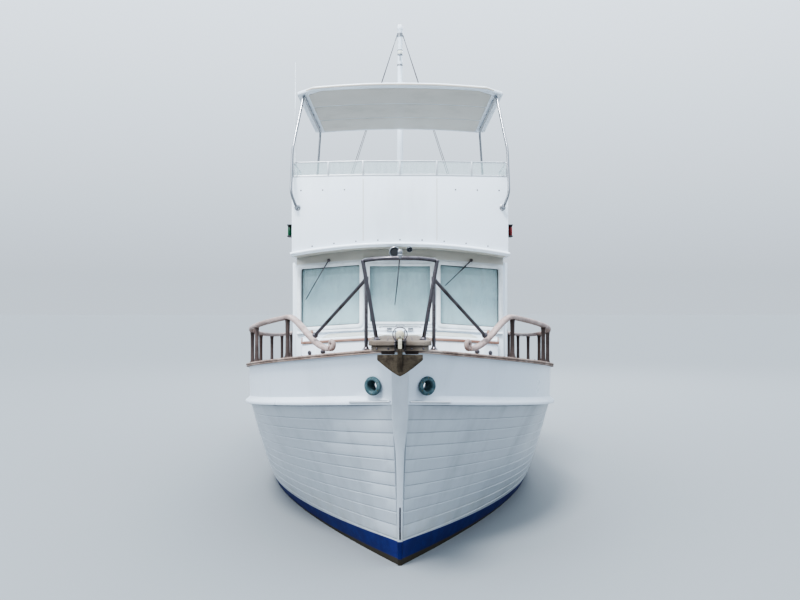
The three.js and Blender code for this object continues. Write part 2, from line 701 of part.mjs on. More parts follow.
// A sheet of glass lies against the walls' inner faces
function glassSheet(lowX, highX, lowY, highY, lowZ, highZ) {
  const outer = house.wall + 0.5;
  const sheet = houseBlock(outer, 2000, 3000).subtract(houseBlock(outer + 6, 1950, 3050));
  return sheet.intersect(box(lowX, highX, lowY, highY, lowZ, highZ));
}

function roofSolid() {
  const plan = [
    [-roof.half, roof.cornerY], [-450, roof.frontY], [450, roof.frontY], [roof.half, roof.cornerY],
    [roof.half, roof.aftY], [-roof.half, roof.aftY],
  ];
  const strip = camberedSlab(roofUnder, (x) => roofUnder(x) + roof.thick, roof.half, -2400, 1800);
  return strip.intersect(slab(plan, "z", 2000, 4000));
}

function coamingPlan(inset, aftY) {
  const { half, centreHalf, cornerY, frontY } = coaming;
  return [
    [inset - half, cornerY + inset], [-centreHalf, frontY + inset], [centreHalf, frontY + inset],
    [half - inset, cornerY + inset], [half - inset, aftY], [inset - half, aftY],
  ];
}

function coamingSolid() {
  const { topZ, sideZ, stepY, slopeY, aftY, wall } = coaming;
  const outer = slab(coamingPlan(0, aftY), "z", 2900, topZ);
  const inner = slab(coamingPlan(wall, aftY + 50), "z", 2800, topZ + 50);
  const step = slab([[stepY, 4100], [stepY, topZ], [slopeY, sideZ], [1100, sideZ], [1100, 4100]], "x", -2000, 2000);
  return onRoof(outer.subtract(inner).subtract(step)).add(antennaMount());
}

function windscreen() {
  const outer = slab(coamingPlan(16, -1250), "z", coaming.topZ + seatGap, coaming.topZ + 190);
  const inner = slab(coamingPlan(24, -1200), "z", coaming.topZ - 50, coaming.topZ + 250);
  return outer.subtract(inner);
}

const hardTopUnder = (x) => hardTop.edgeZ + hardTop.camber * (1 - (x / hardTop.half) ** 2);

function hardTopSolid() {
  const { half, frontY, aftY, thick } = hardTop;
  const plan = [
    [-half, frontY + 260], [-half + 220, frontY + 40], [-450, frontY], [450, frontY], [half - 220, frontY + 40],
    [half, frontY + 260], [half, aftY - 80], [half - 80, aftY], [80 - half, aftY], [-half, aftY - 80],
  ];
  const strip = camberedSlab(hardTopUnder, (x) => hardTopUnder(x) + thick, half, frontY - 50, aftY + 50);
  return strip.intersect(slab(plan, "z", 4900, 5300));
}

// Stainless legs that carry one side of the hard top, joined by a tube along its edge
function topFrame() {
  const run = coaming.half - coaming.centreHalf;
  const sweepBack = coaming.cornerY - coaming.frontY;
  const long = Math.hypot(run, sweepBack);
  const normal = [sweepBack / long, -run / long];
  const [footX, footZ] = [1262, 3590];
  const footY = coaming.frontY + ((footX - coaming.centreHalf) * sweepBack) / run;
  const off = (distance) => [footX + normal[0] * distance, footY + normal[1] * distance, footZ];
  const railX = 1215;
  const railZ = hardTopUnder(railX) - tube - 1.2;
  const [sternX, sternY] = [coaming.half - 20, 700];
  const route = [
    off(seatGap), off(70), [1332, -2205, 3760], [1322, -2130, 4300], [railX, -1850, railZ],
    [railX, 640, railZ], [sternX, sternY, coaming.sideZ + 6],
  ];
  const foot = bar([sternX, sternY, coaming.sideZ + seatGap], [sternX, sternY, coaming.sideZ + 9], 19);
  return joined([bar(off(seatGap), off(9), 38), pipe(route, tube), foot]);
}

// Flybridge furniture

const consoleFace = { foreY: -1750, foreZ: 3980, aftY: -1450, aftZ: 3700 };

function flybridgeConsole() {
  const { foreY, foreZ, aftY, aftZ } = consoleFace;
  const outline = [
    [-2040, 2900], [-2040, 3900], [foreY, foreZ], [aftY, aftZ], [aftY, 3560], [-1540, 3480], [-1540, 2900],
  ];
  return onRoof(slab(outline, "x", wheelPlace.x - 400, wheelPlace.x + 400));
}

// The wheel's axis stands square to the console's sloping face
function wheelAxis() {
  const run = consoleFace.aftY - consoleFace.foreY;
  const drop = consoleFace.foreZ - consoleFace.aftZ;
  const long = Math.hypot(run, drop);
  return [0, drop / long, run / long];
}

function steeringWheel() {
  const axis = wheelAxis();
  const { x, y, z, stand, radius, rim } = wheelPlace;
  const at = (along) => [x, y + axis[1] * along, z + axis[2] * along];
  const centre = at(stand);
  const section = Array.from({ length: 6 }, (_, k) => {
    const turn = (k * Math.PI) / 3;
    return [radius + rim * Math.cos(turn), rim * Math.sin(turn)];
  });
  const spokes = Array.from({ length: 3 }, (_, k) => {
    const turn = Math.PI / 2 + (k * 2 * Math.PI) / 3;
    const [side, up] = [Math.cos(turn) * radius, Math.sin(turn) * radius];
    return bar(centre, [centre[0] + side, centre[1] - axis[2] * up, centre[2] + axis[1] * up], 9, 6);
  });
  const hub = bar(at(seatGap), at(stand), 22, 12);
  const boss = bar(at(stand - 16), at(stand + 18), 38, 14);
  return joined([ring(section, centre, axis, 24), hub, boss, ...spokes]);
}

function flybridgeBench() {
  const outline = [[-640, 2900], [-640, 3440], [-230, 3440], [-170, 3900], [-130, 3900], [-190, 2900]];
  return onRoof(slab(outline, "x", -1000, 1000));
}

function benchCushion() {
  return slab([[-655, 3440.6], [-655, 3540], [-325, 3540], [-325, 3440.6]], "x", -990, 990);
}

function backCushion() {
  const lean = (z) => -230 + ((z - 3440) * 60) / 460 - 1;
  return slab(
    [[lean(3550), 3550], [lean(3885), 3885], [lean(3885) - 85, 3885], [lean(3550) - 85, 3550]], "x", -990, 990,
  );
}

// Stainless rails round the open aft end of the flybridge, with a gap for the ladder
function flybridgeRail(acrossX) {
  const [sideX, startY, cornerY, topZ] = [1312, coaming.aftY + 40, 1640, 3900];
  const upright = (x, y) => onRoof(bar([x, y, 2950], [x, y, topZ], tube));
  const lowerZ = topZ - 330;
  const run = (z, radius) => pipe([[sideX, startY, z], [sideX, cornerY, z], [acrossX, cornerY, z]], radius);
  return joined([
    run(topZ, tube), run(lowerZ, 11), upright(sideX, startY), upright(sideX, cornerY), upright(acrossX, cornerY),
    ball([sideX, startY, topZ], tube, 8), ball([acrossX, cornerY, topZ], tube, 8),
  ]);
}

function flybridgeLadder() {
  const [footY, headY, headZ] = [2330, 1745, 3180];
  const footZ = 1900;
  const stile = (x) => pipe(
    [[x, footY, footZ], [x, headY, headZ], [x, 1700, 3760], [x, 1560, 3800], [x, 1490, 3700], [x, 1490, 3000]], tube,
  );
  const steps = [0.28, 0.46, 0.64, 0.82].map((share) => {
    const y = footY + (headY - footY) * share;
    const z = footZ + (headZ - footZ) * share;
    return box(480, 880, y - 45, y + 45, z - 12, z + 12);
  });
  const roofCut = roofTopCutter.intersect(box(-2000, 2000, -3000, roof.aftY, 0, 5000));
  return joined([stile(480), stile(880), ...steps]).subtract(roofCut).subtract(trunkCutter(aftTrunk));
}

// Trunk cabins

const trunkTop = ({ topZ, camber, halfAft }) => (x) => topZ + camber * (1 - (x / halfAft) ** 2);

function trunkCutter(trunk) {
  const top = trunkTop(trunk);
  return camberedSlab((x) => top(x) - 500, (x) => top(x) + seatGap, 1500, trunk.frontY, trunk.aftY);
}

function trunkSolid(trunk, hatchY) {
  const { frontY, aftY, halfFront, halfAft, topZ } = trunk;
  const top = trunkTop(trunk);
  const plan = (inset, z) => [
    [160 + inset - halfFront, frontY + inset], [halfFront - inset - 160, frontY + inset],
    [halfFront - inset, frontY + 130 + inset], [halfAft - inset, aftY - 60 - inset],
    [halfAft - 60 - inset, aftY - inset], [60 - halfAft + inset, aftY - inset],
    [inset - halfAft, aftY - 60 - inset], [inset - halfFront, frontY + 130 + inset],
  ].map(([x, y]) => [x, y, z]);
  const strip = camberedSlab(() => 1000, top, 1500, frontY - 50, aftY + 50);
  const sides = loft([plan(0, 1000), plan(45, topZ + 200)]);
  const hatchTop = top(0) + hatch.rise;
  const rim = box(-hatch.half, hatch.half, hatchY, hatchY + hatch.long, topZ - 100, hatchTop);
  const { wall } = hatch;
  const well = box(
    wall - hatch.half, hatch.half - wall, hatchY + wall, hatchY + hatch.long - wall, hatch.wellZ, hatchTop + 50,
  );
  return onDeck(strip.intersect(sides).subtract(houseBlock(-seatGap)).add(rim).subtract(well));
}

function hatchLid(trunk, hatchY) {
  const low = trunkTop(trunk)(0) + hatch.rise + seatGap;
  const half = hatch.half + hatch.lap;
  const lid = box(-half, half, hatchY, hatchY + hatch.long + hatch.lap, low, low + hatch.thick);
  const knuckle = bar([-150, hatchY - 5, low + 10], [150, hatchY - 5, low + 10], 9);
  return lid.add(knuckle);
}

// Stern gear

function swimPlatform() {
  const lowZ = 250;
  const front = transomY + transomRake * (lowZ + 45) + 1;
  const plank = slab(
    [
      [-1420, front], [1420, front], [1420, front + 430], [1300, front + 540],
      [-1300, front + 540], [-1420, front + 430],
    ],
    "z", lowZ, lowZ + 45,
  );
  const bracket = (x) => slab(
    [[front - 40, lowZ + 1], [front + 420, lowZ + 1], [front + 420, lowZ - 30], [front - 40, lowZ - 230]],
    "x", x - 20, x + 20,
  );
  return joined([plank, bracket(-900), bracket(0), bracket(900)]).subtract(shell.translate([0, 0.6, 0]));
}

function transomLadder() {
  const footY = transomY + 260;
  const headY = transomY + transomRake * 1600 + 120;
  const [footZ, headZ] = [295.4, 1500];
  const side = (x) => pipe([[x, footY, footZ], [x, headY, headZ], [x, headY - 30, 1900]], tube);
  const rung = (share) => {
    const y = footY + (headY - footY) * share;
    const z = footZ + (headZ - footZ) * share;
    return bar([-720, y, z], [-320, y, z], 14);
  };
  const arm = (x) => bar([x, headY - 12, headZ], [x, transomY + transomRake * headZ + 1, headZ], 12);
  return joined([side(-720), side(-320), ...[0.25, 0.5, 0.75, 1].map(rung), arm(-720), arm(-320)]);
}

function rudderSolid() {
  const { axisY, topZ, lowZ, foreY, aftY, half, stock } = rudder;
  const plan = [[-8, foreY], [8, foreY], [half, axisY], [6, aftY], [-6, aftY], [-half, axisY]];
  const profile = slab(
    [[foreY - 5, topZ + 5], [aftY + 5, topZ + 5], [aftY - 60, lowZ - 5], [foreY - 5, lowZ - 5]], "x", -100, 100,
  );
  const post = bar([0, axisY, lowZ + 20], [0, axisY, 150], stock, 14);
  const pintle = bar([0, axisY, shoe.topZ - 34], [0, axisY, lowZ + 20], rudder.pin, 12);
  return joined([slab(plan, "z", lowZ, topZ).intersect(profile), post, pintle]);
}

function propellerSolid() {
  const { radius, hub, hubLong, blades } = propeller;
  // out is the distance from the axis, half half the blade's width and pitch its twist there
  const rows = [
    { out: 30, half: 48, pitch: 55 }, { out: 120, half: 92, pitch: 38 },
    { out: 205, half: 96, pitch: 28 }, { out: radius, half: 34, pitch: 24 },
  ];
  const blade = loft(
    rows.map(({ out, half, pitch }) => {
      const turn = THREE.MathUtils.degToRad(pitch);
      return [[-half, 0], [0, 7], [half, 0], [0, -7]].map(([side, thick]) => [
        side * Math.cos(turn) - thick * Math.sin(turn),
        side * Math.sin(turn) + thick * Math.cos(turn),
        out,
      ]);
    }),
  );
  const turned = Array.from({ length: blades }, (_, k) =>
    blade.rotate([0, (k * 360) / blades, 0]).rotate([-shaft.tilt, 0, 0]).translate([0, shaft.y, shaft.z]),
  );
  const boss = bar(shaftPoint(-hubLong / 2), shaftPoint(hubLong / 2), hub, 16, hub * 0.75);
  const cone = bar(shaftPoint(hubLong / 2 - 2), shaftPoint(hubLong / 2 + 60), 30, 12, 8);
  const drive = bar(shaftPoint(-900), shaftPoint(0), shaft.radius, 14);
  return joined([drive, boss, cone, ...turned]);
}

// Mast, boom and rigging

function mastRadius(z) {
  const footZ = 3000;
  return mast.footRadius + ((mast.headRadius - mast.footRadius) * (z - footZ)) / (mast.topZ - footZ);
}

function mastSolid() {
  const spar = bar([0, mast.y, 3000], [0, mast.y, mast.topZ], mast.footRadius, mast.sides, mast.headRadius);
  const step = bar([0, mast.y, 3000], [0, mast.y, 3190], 95, mast.sides);
  const collarTop = boom.z - boom.ringHigh / 2 - 0.5;
  const collar = bar([0, mast.y, collarTop - 40], [0, mast.y, collarTop], 76, mast.sides);
  const head = ball([0, mast.y, mast.topZ], 46, 12);
  const lampY = mast.y - 170;
  const lampArm = bar([0, mast.y, 6350], [0, lampY, 6350], 14);
  const lamp = bar([0, lampY, 6315], [0, lampY, 6400], 42, 12);
  return joined([onRoof(joined([spar, step])), collar, head, lampArm, lamp]);
}

function boomSolid() {
  const { z, endY, endZ, radius, ringInner, ringOuter, ringHigh } = boom;
  const high = ringHigh / 2;
  const collar = ring(
    [[ringInner, -high], [ringOuter, -high], [ringOuter, high], [ringInner, high]],
    [0, mast.y, z], [0, 0, 1], mast.sides,
  );
  const spar = bar([0, mast.y + ringInner + 14, z], [0, endY, endZ], radius, 10, radius * 0.8);
  return joined([collar, spar, ball([0, endY, endZ], radius, 10)]);
}

function shroudsSolid() {
  const bandZ = 6680;
  const inner = mastRadius(bandZ - 30) + 0.8;
  const band = ring(
    [[inner, -28], [inner + 10, -28], [inner + 10, 28], [inner, 28]], [0, mast.y, bandZ], [0, 0, 1], mast.sides,
  );
  const stay = (x, y) => {
    const footZ = roofUnder(x) + roof.thick - 20;
    const wire = bar([x, y, footZ], [Math.sign(x) * (inner + 7), mast.y, bandZ], 6, 6);
    const plate = bar([x, y, footZ], [x, y, footZ + 32], 28);
    return onRoof(wire.add(plate));
  };
  return joined([band, stay(1225, 1050), stay(1225, 1530), stay(-1225, 1050), stay(-1225, 1530)]);
}

// Lamps, antenna and deck gear

// The searchlight hangs under the brow, with its front just ahead of the brow's edge
function spotlight() {
  const [x, y, z] = [-65, -2195, 3035];
  const foot = bar([x, y, 3088], [x, y, 3200], 32, 14);
  const stem = bar([x, y, z], [x, y, 3200], 14, 12);
  const lamp = bar([x, -2330, z], [x, -2180, z], 62, 16, 40);
  return joined([foot, stem, lamp]).subtract(roofCutter);
}

function navLight() {
  const face = coaming.half + seatGap;
  return slab([[-2070, 3235], [-1870, 3235], [-1870, 3385], [-2070, 3385]], "x", face, face + 62);
}

function antennaMount() {
  const face = coaming.half - 4;
  const { x, y, z } = antenna;
  const plate = box(-face - 16, -face, y - 50, y + 50, z - 70, z + 50);
  const pin = bar([x - 18, y, z], [-face - 4, y, z], 7);
  return joined([plate, pin]);
}

function antennaSolid() {
  const { x, y, z, long, radius } = antenna;
  const eye = bar([x - 40, y, z], [x + 40, y, z], 8.2, 14);
  const knuckle = bar([x - 14, y, z], [x + 14, y, z], 24, 14);
  const base = bar([x, y, z + 14], [x, y, z + 160], 19, 10, 14);
  const whip = bar([x, y, z + 150], [x, y, z + long], radius, 8, 5);
  return joined([knuckle, base, whip]).subtract(eye);
}

function windlassSolid() {
  const [y, z] = [-4480, 1800];
  const base = onDeck(box(-150, 150, y - 140, y + 140, 1450, z - 40));
  const body = bar([-90, y, z], [90, y, z], 95, 14);
  const drums = bar([-230, y, z], [230, y, z], 42, 12);
  const flange = bar([220, y, z], [236, y, z], 70, 14);
  return joined([base, body, drums, withMirror(flange)]);
}

// Inside the saloon

function insideHelm() {
  const outline = [[-1690, 1000], [-1690, 2060], [-1500, 2060], [-1340, 1900], [-1340, 1000]];
  return onDeck(slab(outline, "x", -1140, -420));
}

function settee() {
  const outline = [[700, 1000], [700, 1600], [1080, 1620], [1120, 2060], [1235, 2060], [1240, 1000]];
  return onDeck(slab(outline, "y", -500, 1450));
}

function galley() {
  return onDeck(box(-1235, -640, -300, 1450, 1000, 2060));
}

const portBulwark = bulwarkSolid();

place("hull", hullSolid(), "gelcoat");
place("deck", deckBlock(0, deckThick + 20).subtract(shellCutter), "teak");
placeBothSides("bulwark", portBulwark, "gelcoat");
place("transom_panel", transomPanel(), "gelcoat");
placeBothSides("cap_rail", sideCap(), "teak");
place("cap_rail_stern", sternCap(), "teak");
placeBothSides("side_rail", sideRail(), "teak");
place("stern_rail", sternRail(), "teak");
placeBothSides("hawse_ring", hawseRing(portBulwark), "bronze");
place("anchor_platform", anchorPlatform(), "teak");
place("bow_roller", bowRoller(), "stainless");
place("plough_anchor", ploughAnchor(), "galvanised");
place("bow_pulpit", pulpitSolid(), "stainless");
place("windlass", windlassSolid(), "stainless");
place("fore_trunk", trunkSolid(foreTrunk, foreHatchY), "gelcoat");
place("fore_hatch_lid", hatchLid(foreTrunk, foreHatchY), "gelcoat");
place("aft_trunk", trunkSolid(aftTrunk, aftHatchY), "gelcoat");
place("aft_hatch_lid", hatchLid(aftTrunk, aftHatchY), "gelcoat");
place("house_front", houseFront(), "gelcoat");
placeBothSides("house_side", houseSide(), "gelcoat");
place("house_aft", houseAft(), "gelcoat");
place("windshield", glassSheet(-1272, 1272, -2300, -1660, 2075, 2928), "glass");
placeBothSides("side_glass", glassSheet(1150, 1400, -830, 1500, 2110, 2820), "glass");
place("aft_glass", glassSheet(-1150, 1150, 1300, 1700, 2190, 2820), "glass");
placeBothSides("side_door", doorSolid(), "teak");
place("inside_helm", insideHelm(), "teak");
place("settee", settee(), "vinyl");
place("galley", galley(), "teak");
place("house_roof", roofSolid(), "gelcoat");
place("flybridge_coaming", coamingSolid(), "gelcoat");
place("windscreen", windscreen(), "glass");
place("flybridge_console", flybridgeConsole(), "gelcoat");
place("steering_wheel", steeringWheel(), "stainless");
place("flybridge_bench", flybridgeBench(), "gelcoat");
place("bench_cushion", benchCushion(), "vinyl");
place("back_cushion", backCushion(), "vinyl");
place("flybridge_rail_port", flybridgeRail(940), "stainless");
place("flybridge_rail_starboard", flybridgeRail(-420).mirror([1, 0, 0]), "stainless");
place("flybridge_ladder", flybridgeLadder(), "stainless");
place("hard_top", hardTopSolid(), "gelcoat");
placeBothSides("top_frame", topFrame(), "stainless");
place("mast", mastSolid(), "gelcoat");
place("boom", boomSolid(), "gelcoat");
place("mast_shrouds", shroudsSolid(), "stainless");
place("spotlight", spotlight(), "stainless");
place("nav_light_port", navLight(), "portLight");
place("nav_light_starboard", navLight().mirror([1, 0, 0]), "starboardLight");
place("antenna", antennaSolid(), "gelcoat");
place("swim_platform", swimPlatform(), "teak");
place("transom_ladder", transomLadder(), "stainless");
place("rudder", rudderSolid(), "bronze");
place("propeller", propellerSolid(), "bronze");

export default boat;
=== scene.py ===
import random
from math import atan2, copysign, cos, hypot, pi, radians, sin

import bmesh
import bpy
from mathutils import Matrix, Vector
from mathutils.bvhtree import BVHTree


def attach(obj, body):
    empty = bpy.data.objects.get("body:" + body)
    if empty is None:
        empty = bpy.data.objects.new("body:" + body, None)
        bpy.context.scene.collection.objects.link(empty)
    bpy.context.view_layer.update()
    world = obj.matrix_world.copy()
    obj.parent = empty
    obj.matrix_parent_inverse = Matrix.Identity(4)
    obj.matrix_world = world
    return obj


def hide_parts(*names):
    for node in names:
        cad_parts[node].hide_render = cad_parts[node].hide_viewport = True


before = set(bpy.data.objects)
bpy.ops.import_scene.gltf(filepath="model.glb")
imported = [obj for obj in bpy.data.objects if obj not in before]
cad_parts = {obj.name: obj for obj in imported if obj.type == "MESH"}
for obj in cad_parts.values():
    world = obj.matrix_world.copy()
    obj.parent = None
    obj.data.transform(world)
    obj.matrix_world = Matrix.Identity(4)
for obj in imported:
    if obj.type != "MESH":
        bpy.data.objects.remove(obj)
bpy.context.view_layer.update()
scene = bpy.context.scene
print("frame loaded")

# camera, floor and light
camera = {"place": (0.0, -13.6, 2.41), "tilt": 0.2, "turn": 0.0, "roll": 0.0, "lens": 42.0}
light = {
    "sky": (0.8, 0.895, 1.0), "horizon": 0.55, "zenith": 1.85,
    "sun": 2.2, "sunSpread": 14.0, "sunTurn": (32.0, 0.0, -22.0), "fill": 420.0, "rim": 900.0,
    "floor": (0.235, 0.25, 0.26, 1.0), "look": "AgX - High Contrast", "exposure": 0.36,
}


def linked(name, data):  # a new object in the scene
    made = bpy.data.objects.new(name, data)
    scene.collection.objects.link(made)
    return made


def makeCamera():
    data = bpy.data.cameras.new("camera")
    data.lens = camera["lens"]
    data.sensor_width = 36
    data.clip_end = 200
    eye = linked("camera", data)
    eye.location = camera["place"]
    turns = (90 + camera["tilt"], camera["roll"], camera["turn"])
    eye.rotation_euler = [radians(turn) for turn in turns]
    scene.camera = eye


def areaLight(name, place, target, size, power):
    data = bpy.data.lights.new(name, "AREA")
    data.shape = "DISK"
    data.size = size
    data.energy = power
    lamp = linked(name, data)
    lamp.location = place
    lamp.rotation_mode = "QUATERNION"
    lamp.rotation_quaternion = (Vector(target) - Vector(place)).to_track_quat("-Z", "Y")


def sunLight():
    data = bpy.data.lights.new("sunLight", "SUN")
    data.energy = light["sun"]
    data.angle = radians(light["sunSpread"])
    lamp = linked("sunLight", data)
    lamp.rotation_euler = [radians(turn) for turn in light["sunTurn"]]


makeCamera()
sunLight()
areaLight("fillLight", (-11, -13, 9), (0, -2, 1.5), 9, light["fill"])
areaLight("rimLight", (3, 17, 13), (0, 2, 2), 10, light["rim"])
scene.view_settings.look = light["look"]
scene.view_settings.exposure = light["exposure"]


# node maths: a socket that can be added, multiplied and so on
class Socket:
    def __init__(self, tree, socket):
        self.tree, self.socket = tree, socket

    def maths(self, operation, *others, first=None):
        values = (self, *others) if first is None else (first, self)
        return self.tree.add("ShaderNodeMath", {"operation": operation}, dict(enumerate(values))).out()

    def above(self, edge, soft=0.004):
        return self.tree.add("ShaderNodeMapRange", {"clamp": True}, {"Value": self, "From Min": edge - soft,
            "From Max": edge + soft}).out()

    def over(self, other, soft=0.004):  # 1 where this is greater than another socket
        return (self - other).above(0.0, soft)


# the signs + - * / and % between sockets, and with plain numbers
def arithmetic(operation, swapped):
    if swapped:
        return lambda socket, other: socket.maths(operation, first=other)
    return lambda socket, other: socket.maths(operation, other)


for sign, operation in {"add": "ADD", "sub": "SUBTRACT", "mul": "MULTIPLY", "truediv": "DIVIDE",
        "mod": "FLOORED_MODULO"}.items():
    setattr(Socket, f"__{sign}__", arithmetic(operation, False))
    setattr(Socket, f"__r{sign}__", arithmetic(operation, True))


class Made:
    def __init__(self, tree, node):
        self.tree, self.node = tree, node

    def out(self, name=0):
        return Socket(self.tree, self.node.outputs[name])


class NodeTree:
    def __init__(self, tree):
        self.tree = tree

    # a node with its settings put in before the values and links of its sockets
    def add(self, kind, settings=None, inputs=None):
        node = self.tree.nodes.new(kind)
        for key, value in (settings or {}).items():
            setattr(node, key, value)
        for key, value in (inputs or {}).items():
            self.feed(node.inputs[key], value)
        return Made(self, node)

    def feed(self, socket, value):
        if isinstance(value, Socket):
            self.tree.links.new(value.socket, socket)
        else:
            socket.default_value = value


def makeSky():  # an even sky that is brightest overhead
    world = bpy.data.worlds.new("sky")
    world.use_nodes = True
    sky = NodeTree(world.node_tree)
    background = world.node_tree.nodes["Background"]
    way = sky.add("ShaderNodeTexCoord").out("Generated")
    up = sky.add("ShaderNodeSeparateXYZ", None, {0: way}).out("Z")
    glow = sky.add("ShaderNodeMapRange", {"clamp": True}, {"Value": up, "From Min": 0.03, "From Max": 0.9,
        "To Min": light["horizon"], "To Max": light["zenith"]})
    sky.feed(background.inputs["Strength"], glow.out())
    background.inputs["Color"].default_value = (*light["sky"], 1)
    scene.world = world


makeSky()
print("camera and light set")


def tone(r, g, b):  # a colour as the eye sees it, 0 to 255, made linear
    def linear(v):
        v = v / 255
        return v / 12.92 if v <= 0.04045 else ((v + 0.055) / 1.055) ** 2.4

    return (linear(r), linear(g), linear(b), 1.0)


class Finish(NodeTree):
    def __init__(self, name, **constants):
        self.material = bpy.data.materials.new(name)
        self.material.use_nodes = True
        super().__init__(self.material.node_tree)
        self.shader = self.tree.nodes["Principled BSDF"]
        for key, value in constants.items():
            self.shader.inputs[key.replace("_", " ")].default_value = value
        coordinates = self.add("ShaderNodeTexCoord")
        self.place = coordinates.out("Object")
        split = self.add("ShaderNodeSeparateXYZ", None, {0: self.place})
        self.x, self.y, self.z = split.out("X"), split.out("Y"), split.out("Z")

    def stretched(self, scale, turn=(0, 0, 0)):
        return self.add("ShaderNodeMapping", None, {"Vector": self.place, "Scale": scale,
            "Rotation": [radians(t) for t in turn]}).out()

    def noise(self, scale, detail=4.0, rough=0.55, vector=None, distortion=0.0):
        values = {
            "Vector": vector or self.place, "Scale": scale, "Detail": detail,
            "Roughness": rough, "Distortion": distortion,
        }
        return self.add("ShaderNodeTexNoise", None, values).out("Fac")

    def mix(self, low, high, share, way="MIX"):
        node = self.add("ShaderNodeMix", {"data_type": "RGBA", "blend_type": way}, {"Factor": share})
        for place, color in ((6, low), (7, high)):
            self.feed(node.node.inputs[place], tone(*color) if isinstance(color, tuple) else color)
        return node.out(2)

    def span(self, value, low, high, newLow=0.0, newHigh=1.0):
        return self.add("ShaderNodeMapRange", {"clamp": True}, {"Value": value, "From Min": low,
            "From Max": high, "To Min": newLow, "To Max": newHigh}).out()

    def cells(self, value):  # a random number for each whole step of a value
        whole = value.maths("FLOOR")
        return self.add("ShaderNodeTexWhiteNoise", {"noise_dimensions": "1D"}, {"W": whole}).out("Value")

    def bump(self, height, strength=0.3, distance=0.004):
        self.feed(self.shader.inputs["Normal"], self.add("ShaderNodeBump", None,
            {"Height": height, "Strength": strength, "Distance": distance}).out())

    def use(self, **sockets):
        for key, value in sockets.items():
            self.feed(self.shader.inputs[key.replace("_", " ")], value)
        return self.material


def gelcoatFinish(name, bright, dull, rough=0.34, browShadeBand=None):
    f = Finish(name, Coat_Weight=0.25, Coat_Roughness=0.12)
    cloud = f.noise(0.9, 5, 0.6)
    streak = f.noise(2.2, 5, 0.65, f.stretched((1, 1, 0.12)))
    dirt = f.span(streak * 0.6 + cloud * 0.4, 0.5, 0.72)
    speck = f.span(f.noise(190, 2, 0.5), 0.68, 0.8)
    color = f.mix(bright, dull, dirt * 0.75)
    color = f.mix(color, (150, 146, 136), speck * 0.22)
    if browShadeBand:  # painted shade: the band under the brow is darker, where the brow shadows the wall
        height, bow, shade = browShadeBand
        color = f.mix(color, shade, (f.z + f.x * f.x * bow).above(height, 0.012) * 0.9)
    f.bump(f.noise(2.4, 3, 0.5) + f.noise(60, 2, 0.5) * 0.03, 0.1, 0.02)
    return f.use(Base_Color=color, Roughness=f.span(cloud, 0.3, 0.7, rough - 0.08, rough + 0.14))


hullPaint = {  # heights of the painted lines over the water at the bow and amidships
    "stripeTopBow": 0.235, "stripeTopMid": 0.1, "stripeLowBow": 0.062, "stripeLowMid": 0.0,
    "bow": -5.0, "mid": 0.4,
}


def hullFinish(name, bright, dull):
    p = hullPaint
    f = Finish(name, Coat_Roughness=0.15)
    run = f.span(f.y, p["bow"], p["mid"], 1.0, 0.0)
    curve = run * run
    top = curve * (p["stripeTopBow"] - p["stripeTopMid"]) + p["stripeTopMid"]
    low = curve * (p["stripeLowBow"] - p["stripeLowMid"]) + p["stripeLowMid"]
    cloud = f.noise(1.1, 5, 0.6)
    streak = f.noise(3.0, 5, 0.65, f.stretched((1, 1, 0.1)))
    white = f.mix(bright, dull, f.span(streak * 0.6 + cloud * 0.4, 0.48, 0.75))
    # painted shade: the bottoms of the seam grooves are darkened
    seam = f.add("ShaderNodeAttribute", {"attribute_name": "seam"}).out("Fac")
    white = f.mix(white, (104, 108, 114), f.span(seam, 0.72, 1.0) * 0.6)
    splash = f.span(f.z - top, 0.0, 0.3, 1.0, 0.0) * f.span(f.noise(4, 6, 0.7), 0.42, 0.7)
    white = f.mix(white, (164, 160, 140), splash * 0.42)
    blue = f.mix((3, 20, 88), (12, 36, 108), f.span(f.noise(8, 5, 0.7), 0.45, 0.75))
    scum = f.mix((66, 56, 42), (40, 38, 30), f.noise(14, 5, 0.7))
    under = f.mix((34, 40, 52), (62, 66, 60), f.span(f.noise(3, 6, 0.7), 0.4, 0.7))
    wobble = f.noise(2.0, 3, 0.5) * 0.012 - 0.006
    painted = f.z.over(top, 0.003)
    color = f.mix(blue, white, painted)
    color = f.mix(scum, color, f.z.over(low + wobble, 0.006))
    color = f.mix(under, color, f.z.above(-0.035, 0.012))
    speck = f.span(f.noise(150, 2, 0.5), 0.68, 0.8)
    color = f.mix(color, (140, 138, 128), speck * 0.2)
    f.bump(f.noise(1.6, 3, 0.5) + f.noise(50, 2, 0.5) * 0.04, 0.13, 0.02)
    return f.use(Base_Color=color, Coat_Weight=painted * 0.2, Roughness=f.span(cloud, 0.3, 0.7, 0.28, 0.48)
        + (1 - painted) * 0.4)


def teakFinish(name, pale, dark, worn, grain=(1, 0.07, 1), turn=(0, 0, 0), rough=0.74, plank=None):
    f = Finish(name)
    stretched = f.stretched(grain, turn)
    fibre = f.noise(48, 8, 0.66, stretched)
    figure = f.noise(9, 5, 0.6, stretched, 0.6)
    patch = f.noise(3.2, 4, 0.6)
    shade = fibre * 0.55 + figure * 0.45
    if plank:
        shade = shade + (f.cells(f.x / plank) - 0.5) * 0.22
    color = f.mix(dark, pale, f.span(shade, 0.3, 0.72))
    color = f.mix(color, worn, f.span(patch, 0.5, 0.72) * 0.55)
    crack = f.span(f.noise(95, 3, 0.5, stretched), 0.62, 0.74)
    color = f.mix(color, (62, 52, 44), crack * 0.45)
    height = fibre - crack * 0.5
    if plank:
        seam = f.span((f.x / plank % 1.0 - 0.5).maths("ABSOLUTE"), 0.5 - 0.0035 / plank, 0.5 - 0.0022 / plank)
        color = f.mix(color, (28, 27, 26), seam)
        height = height - seam * 0.6
    f.bump(height, 0.45, 0.003)
    return f.use(Base_Color=color, Roughness=f.span(fibre, 0.3, 0.7, rough - 0.1, rough + 0.12))


